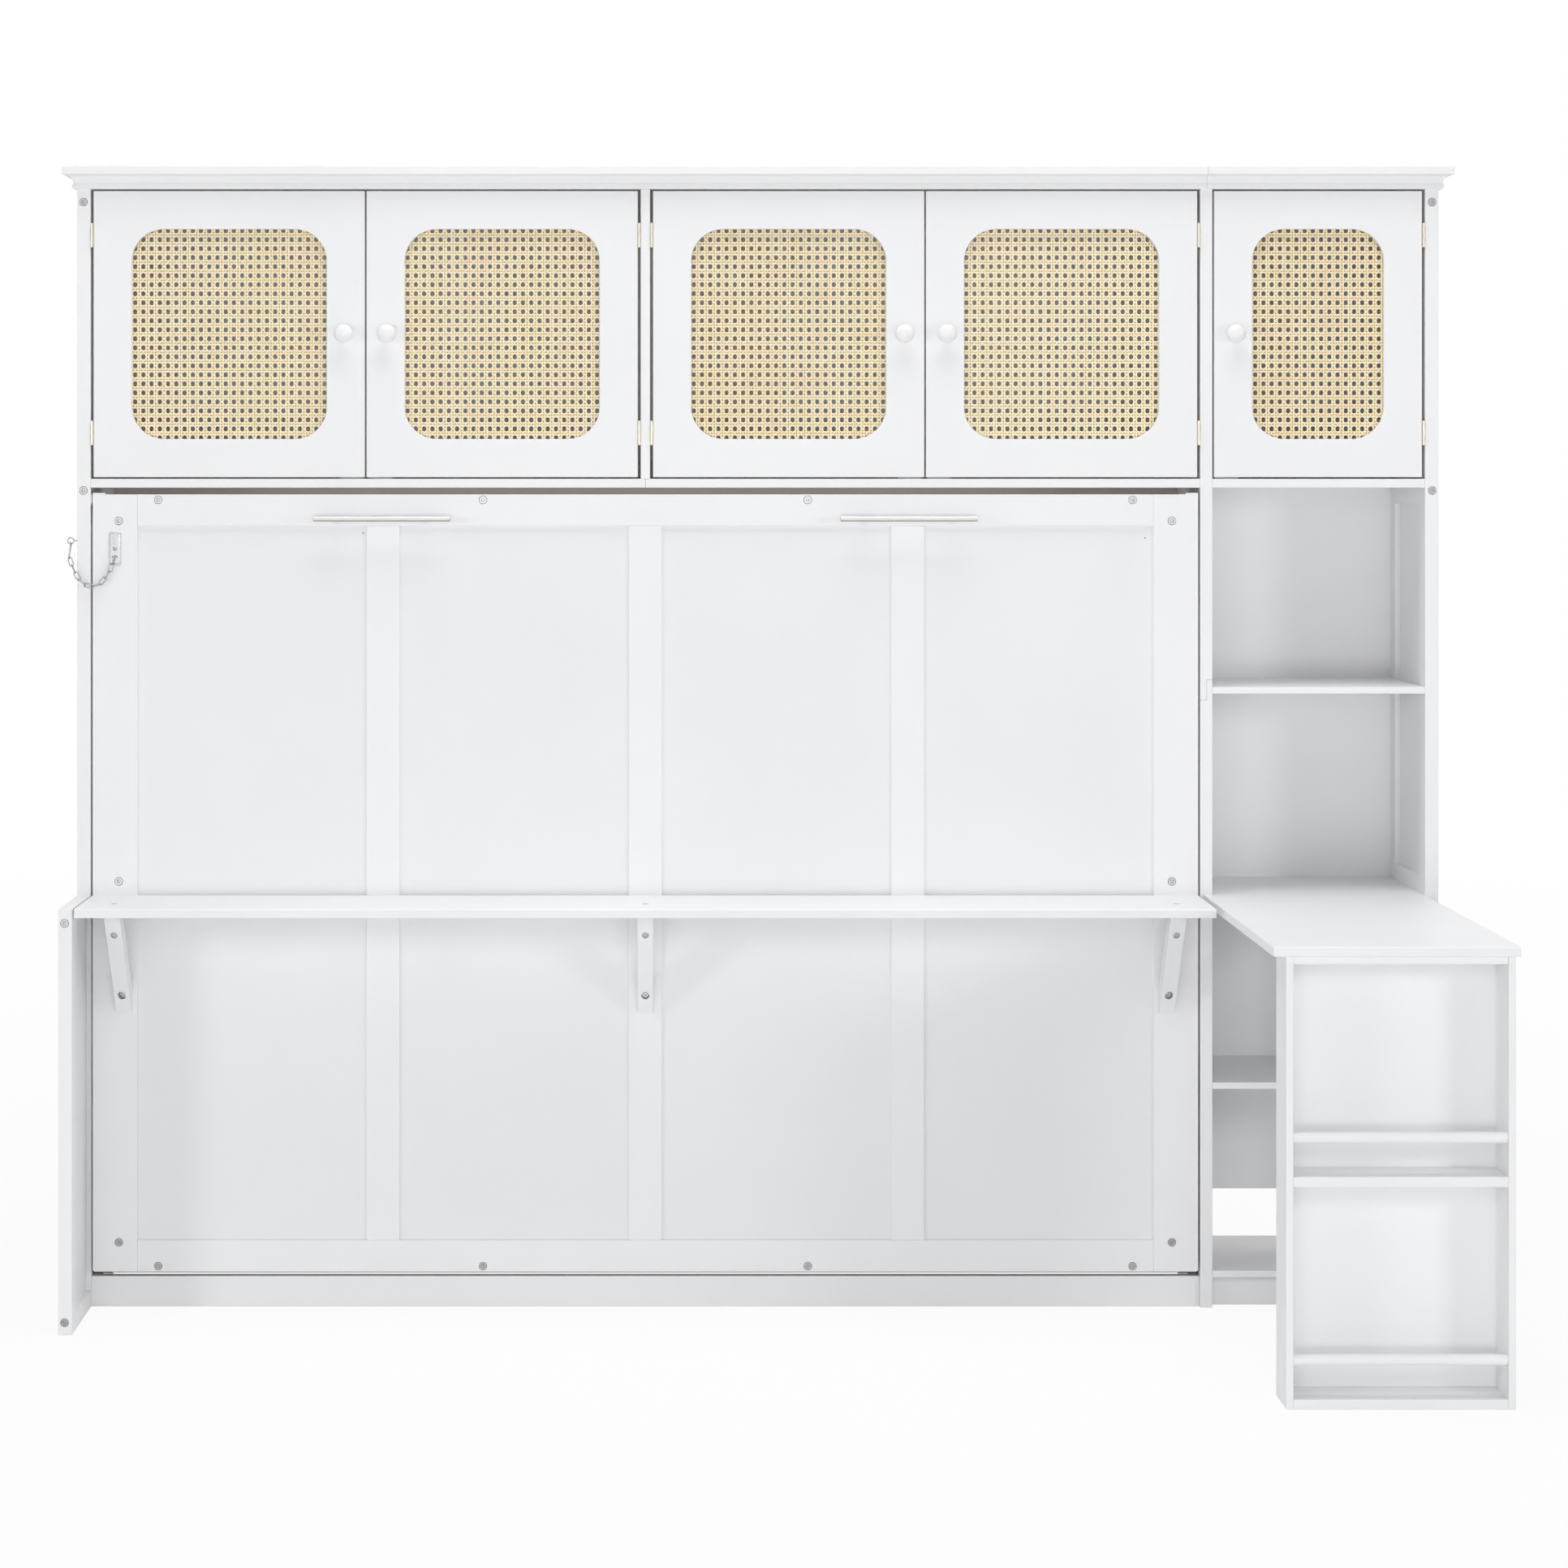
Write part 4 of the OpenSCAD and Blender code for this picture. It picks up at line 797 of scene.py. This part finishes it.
class WALLBED_OT_crown(bpy.types.Operator):
    """Finish the top boards and the mitred moulding under them"""

    bl_idname = "wallbed.crown"
    bl_label = "Crown"

    def execute(self, context):
        eased_piece("top_boards", details().board_edge)
        eased_piece("crown_mouldings", MOULDING_EDGE)
        return {"FINISHED"}


class WALLBED_OT_side_desk(bpy.types.Operator):
    """Finish the fixed desk and the rack at its end"""

    bl_idname = "wallbed.side_desk"
    bl_label = "Side desk and rack"

    def execute(self, context):
        ease_all(("desk_top", "rack_sides", "rack_shelves", "rack_rods"), details().board_edge)
        return {"FINISHED"}


class WALLBED_OT_bed_front(bpy.types.Operator):
    """Finish the bed's front with its uprights, rails and panels"""

    bl_idname = "wallbed.bed_front"
    bl_label = "Bed front"

    def execute(self, context):
        ease_all(("bed_uprights", "bed_cross_rails"), details().board_edge)
        finish_in_place("bed_front_panels")
        return {"FINISHED"}


class WALLBED_OT_bed_box(bpy.types.Operator):
    """Finish the bed's steel box, ledgers and slats"""

    bl_idname = "wallbed.bed_box"
    bl_label = "Bed box and slats"

    def execute(self, context):
        ease_all(("slat_ledgers", "slats"), SLAT_EDGE)
        ease_all(("bed_box_rails", "bed_top_plates"), details().metal_edge)
        eased_piece("bed_corner_feet", FOOT_EDGE)
        return {"FINISHED"}


class WALLBED_OT_fold_desk(bpy.types.Operator):
    """Finish the desk board on the bed and its three braces"""

    bl_idname = "wallbed.fold_desk"
    bl_label = "Fold-down desk"

    def execute(self, context):
        ease_all(("fold_desk_board", "fold_desk_braces"), details().board_edge)
        return {"FINISHED"}


class WALLBED_OT_door_frames(bpy.types.Operator):
    """Finish the frames of the five cupboard doors"""

    bl_idname = "wallbed.door_frames"
    bl_label = "Door frames"

    def execute(self, context):
        ease_all(["door_%d_frame" % n for n in DOORS], DOOR_EDGE)
        return {"FINISHED"}


class WALLBED_OT_cane(bpy.types.Operator):
    """Weave the cane into the doors and fix its beads"""

    bl_idname = "wallbed.cane"
    bl_label = "Cane"

    def execute(self, context):
        for number in DOORS:
            weave_cane(number)
            cane_bead(number)
        return {"FINISHED"}


# A knob's shape, as shares of its radius and of its reach from the door.
KNOB_FOOT = 0.60
KNOB_FOOT_RIM = 0.62
KNOB_NECK = 0.38
KNOB_NECK_LENGTH = 0.2
KNOB_BALL = 0.32
KNOB_BALL_START = -math.asin(0.9)
KNOB_EASE = 0.4 * MM
KNOB_FOOT_HEIGHT = 1.8 * MM
KNOB_NECK_STEPS = 6
KNOB_BALL_STEPS = 18


class WALLBED_OT_knobs(bpy.types.Operator):
    """Turn the door knobs"""

    bl_idname = "wallbed.knobs"
    bl_label = "Knobs"

    def execute(self, context):
        for number in DOORS:
            node = "door_%d_knob" % number
            low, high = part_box(node)
            centre = Vector(((low.x + high.x) / 2, high.y, (low.z + high.z) / 2))
            profile = self.profile((high.x - low.x) / 2, high.y - low.y)
            mesh = lathe_mesh(node + "_turned", profile, centre,
                              turns=details().knob_turns, crease=60)
            add_piece(node + "_turned", mesh, BODY_OF[node], SLOT_OF[node], node)
        return {"FINISHED"}

    def profile(self, radius, reach):
        """A foot with its rim, a hollow neck and a flattened ball."""
        foot, rim = KNOB_FOOT * radius, KNOB_FOOT_RIM * radius
        points = [(0, 0), (foot, 0), (rim, KNOB_EASE), (rim, KNOB_FOOT_HEIGHT)]
        for k in range(1, KNOB_NECK_STEPS + 1):
            t = k / KNOB_NECK_STEPS
            points.append((foot + (KNOB_NECK * radius - foot) * math.sin(t * math.pi / 2),
                           KNOB_FOOT_HEIGHT + t * KNOB_NECK_LENGTH * reach))
        half = KNOB_BALL * reach
        for k in range(KNOB_BALL_STEPS):
            a = KNOB_BALL_START + (math.pi / 2 - KNOB_BALL_START) * k / KNOB_BALL_STEPS
            points.append((radius * math.cos(a), reach - half + half * math.sin(a)))
        return points + [(0, reach)]


PLATE_HALF_W = 11 * MM
PLATE_HALF_H = 29.5 * MM
PLATE_CORNER = 3 * MM
# The pressed rim in mm: how far each ring lies inside the edge, and how far it stands out.
PLATE_RINGS = ((0, 0), (0, 1.0), (0.5, 1.4), (2.3, 1.4), (3.2, 2.0))
PLATE_FACE = PLATE_RINGS[-1][1] * MM
PLATE_CORNER_SHRINK = 0.6
PLATE_CORNER_STEPS = 6
KEYHOLE_WIDTH = 7 * MM
KEYHOLE_SLOT = 3.2 * MM
KEYHOLE_TOP = 23 * MM
KEYHOLE_BOTTOM = 8 * MM
KEYHOLE_FLOOR = 0.3 * MM
KEYHOLE_STEPS = 20
# The screw's (radius, reach) points in mm.
SCREW_PROFILE = ((0, 1.9), (3.6, 1.9), (3.6, 2.3), (3.0, 3.1), (2.0, 3.6), (1.25, 3.7),
                 (1.0, 2.6), (0, 2.4))
STAPLE_HALF_W = 4 * MM
STAPLE_WIRE = 1.25 * MM
STAPLE_TURN = 2 * MM
STAPLE_DROP = 15 * MM
STAPLE_ROOT = 1 * MM
STAPLE_STEPS = 6


class WALLBED_OT_chain_plate(bpy.types.Operator):
    """Press the chain's plate with its rim, keyhole, screw and staple"""

    bl_idname = "wallbed.chain_plate"
    bl_label = "Chain plate"

    def execute(self, context):
        low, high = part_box("chain_plate")
        self.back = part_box("bed_uprights")[0].y
        self.centre = Vector(((low.x + high.x) / 2, self.back, high.z - PLATE_HALF_H))
        body = BODY_OF["chain_plate"]
        slot = SLOT_OF["chain_plate"]
        add_piece("chain_plate_pressed", self.pressed_plate(), body, slot, "chain_plate")
        add_piece("chain_plate_screw", self.screw(), body, slot)
        add_piece("chain_plate_staple", self.staple(low.y), body, slot)
        return {"FINISHED"}

    def ring(self, bm, outline, reach):
        return [bm.verts.new((self.centre.x + x, self.back - reach, self.centre.z + z))
                for x, z in outline]

    def pressed_plate(self):
        bm = bmesh.new()
        loops = []
        for inset, reach in PLATE_RINGS:
            outline = rounded_outline(PLATE_HALF_W - inset * MM, PLATE_HALF_H - inset * MM,
                                      PLATE_CORNER - PLATE_CORNER_SHRINK * inset * MM,
                                      PLATE_CORNER_STEPS)
            loops.append(self.ring(bm, outline, reach * MM))
        bridge(bm, loops)
        bm.faces.new(loops[0])
        hole = keyhole_outline(KEYHOLE_WIDTH, KEYHOLE_SLOT, KEYHOLE_TOP, KEYHOLE_BOTTOM,
                               KEYHOLE_STEPS)
        rings = [self.ring(bm, hole, reach) for reach in (PLATE_FACE, KEYHOLE_FLOOR)]
        bridge(bm, rings)
        bm.faces.new(rings[1])
        rim = []
        for loop in (loops[-1], rings[0]):
            rim += [bm.edges.get((loop[k], loop[(k + 1) % len(loop)])) for k in range(len(loop))]
        bmesh.ops.triangle_fill(bm, use_beauty=True, edges=rim)
        return mesh_of(bm, "chain_plate_pressed", crease=25)

    def screw(self):
        profile = [(radius * MM, reach * MM) for radius, reach in SCREW_PROFILE]
        return lathe_mesh("chain_plate_screw", profile, self.centre, turns=24, crease=35)

    def staple(self, front):
        """Wire that stands out of the plate, turns twice and goes back in."""
        z = self.centre.z - STAPLE_DROP
        reach = front + STAPLE_WIRE
        points = [(-STAPLE_HALF_W, self.back - STAPLE_ROOT)]
        for k in range(STAPLE_STEPS + 1):
            a = math.pi / 2 * k / STAPLE_STEPS
            points.append((-STAPLE_HALF_W + STAPLE_TURN * (1 - math.cos(a)),
                           reach + STAPLE_TURN * (1 - math.sin(a))))
        points += [(-x, y) for x, y in reversed(points)]
        return wire_mesh("chain_plate_staple", [(self.centre.x + x, y, z) for x, y in points],
                         STAPLE_WIRE, turns=12)


# Each brad's side, place across and height, and the (radius, reach) points of its head, in mm.
BRADS = (("left", -713, 1399), ("right", 700, 1390))
BRAD_PROFILE = ((0, -0.6), (1.5, -0.6), (1.5, 0.2), (1.1, 0.7), (0, 0.9))
CATCH_HEIGHTS = (1445 * MM, 1476 * MM)
CATCH_DEPTHS = (1.5 * MM, 15 * MM)
CATCH_THICKNESS = 0.8 * MM
CATCH_RISE = 1.6 * MM
CATCH_BEND = 5 * MM


class WALLBED_OT_small_fixings(bpy.types.Operator):
    """Set the side catch beside the bed and the brads that hold the front panels"""

    bl_idname = "wallbed.small_fixings"
    bl_label = "Side catch and brads"

    def execute(self, context):
        self.side_catch()
        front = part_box("bed_front_panels")[0].y
        profile = [(radius * MM, reach * MM) for radius, reach in BRAD_PROFILE]
        for side, x, z in BRADS:
            name = "panel_brad_" + side
            mesh = lathe_mesh(name, profile, Vector((x * MM, front, z * MM)),
                              turns=16, crease=50)
            add_piece(name, mesh, BODY_OF["bed_front_panels"], "bright_steel")
        return {"FINISHED"}

    def side_catch(self):
        """A sprung plate on the left side, in the gap beside the bed's top corner."""
        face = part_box("left_side_frame")[1].x
        skin = face + CATCH_THICKNESS
        crest = skin + CATCH_RISE
        low, high = CATCH_HEIGHTS
        outline = [(face, low), (face, high), (skin, high), (skin, high - CATCH_BEND),
                   (crest, high - 2 * CATCH_BEND), (crest, low + 2 * CATCH_BEND),
                   (skin, low + CATCH_BEND), (skin, low)]
        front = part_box("bed_uprights")[0].y
        bm = bmesh.new()
        loops = [[bm.verts.new((x, front + depth, z)) for x, z in outline]
                 for depth in CATCH_DEPTHS]
        bridge(bm, loops)
        for loop in loops:
            bm.faces.new(loop)
        mesh = mesh_of(bm, "side_catch", crease=30)
        add_piece("side_catch", mesh, BODY_OF["left_side_frame"], "bright_steel")


class WALLBED_OT_hardware(bpy.types.Operator):
    """Finish hinges, bolts, handles, chain, pivots and lifts"""

    bl_idname = "wallbed.hardware"
    bl_label = "Hardware"

    def execute(self, context):
        small = details().metal_edge
        ease_all(("cabinet_bolts", "bed_bolts", "pull_handles", "door_catches"), small)
        finish_in_place("hinge_fixed_leaves", *["door_%d_hinges" % n for n in DOORS])
        finish_in_place("chain_eye", "safety_chain")
        finish_in_place("steel_brackets", "pivot_pins", "pivot_bushes", "bed_pivot_plates",
                        "lift_cylinders", "lift_rods")
        return {"FINISHED"}


class WALLBED_PT_panel(bpy.types.Panel):
    """Lists the steps that finish the wall bed"""

    bl_label = "Wall Bed"
    bl_idname = "WALLBED_PT_panel"
    bl_space_type = "VIEW_3D"
    bl_region_type = "UI"
    bl_category = "Wall Bed"

    def draw(self, context):
        for step in STEPS:
            self.layout.operator(step.bl_idname)
        for group in (context.scene.wall_bed_finishes, context.scene.wall_bed_details,
                      context.scene.wall_bed_view):
            box = self.layout.box()
            for name in group.__annotations__:
                box.prop(group, name)


STEPS = (
    WALLBED_OT_camera,
    WALLBED_OT_stage,
    WALLBED_OT_carcass,
    WALLBED_OT_crown,
    WALLBED_OT_side_desk,
    WALLBED_OT_bed_front,
    WALLBED_OT_bed_box,
    WALLBED_OT_fold_desk,
    WALLBED_OT_door_frames,
    WALLBED_OT_cane,
    WALLBED_OT_knobs,
    WALLBED_OT_chain_plate,
    WALLBED_OT_small_fixings,
    WALLBED_OT_hardware,
)
GROUPS = (WallBedFinishes, WallBedDetails, WallBedView)


def register():
    for cls in GROUPS + STEPS + (WALLBED_PT_panel,):
        bpy.utils.register_class(cls)
    bpy.types.Scene.wall_bed_finishes = PointerProperty(type=WallBedFinishes)
    bpy.types.Scene.wall_bed_details = PointerProperty(type=WallBedDetails)
    bpy.types.Scene.wall_bed_view = PointerProperty(type=WallBedView)


def unregister():
    del bpy.types.Scene.wall_bed_view
    del bpy.types.Scene.wall_bed_details
    del bpy.types.Scene.wall_bed_finishes
    for cls in reversed(GROUPS + STEPS + (WALLBED_PT_panel,)):
        bpy.utils.unregister_class(cls)


def main():
    register()
    build_materials()
    for step in STEPS:
        operator = getattr(bpy.ops.wallbed, step.bl_idname.split(".")[1])
        operator()


if __name__ == "__main__":
    main()
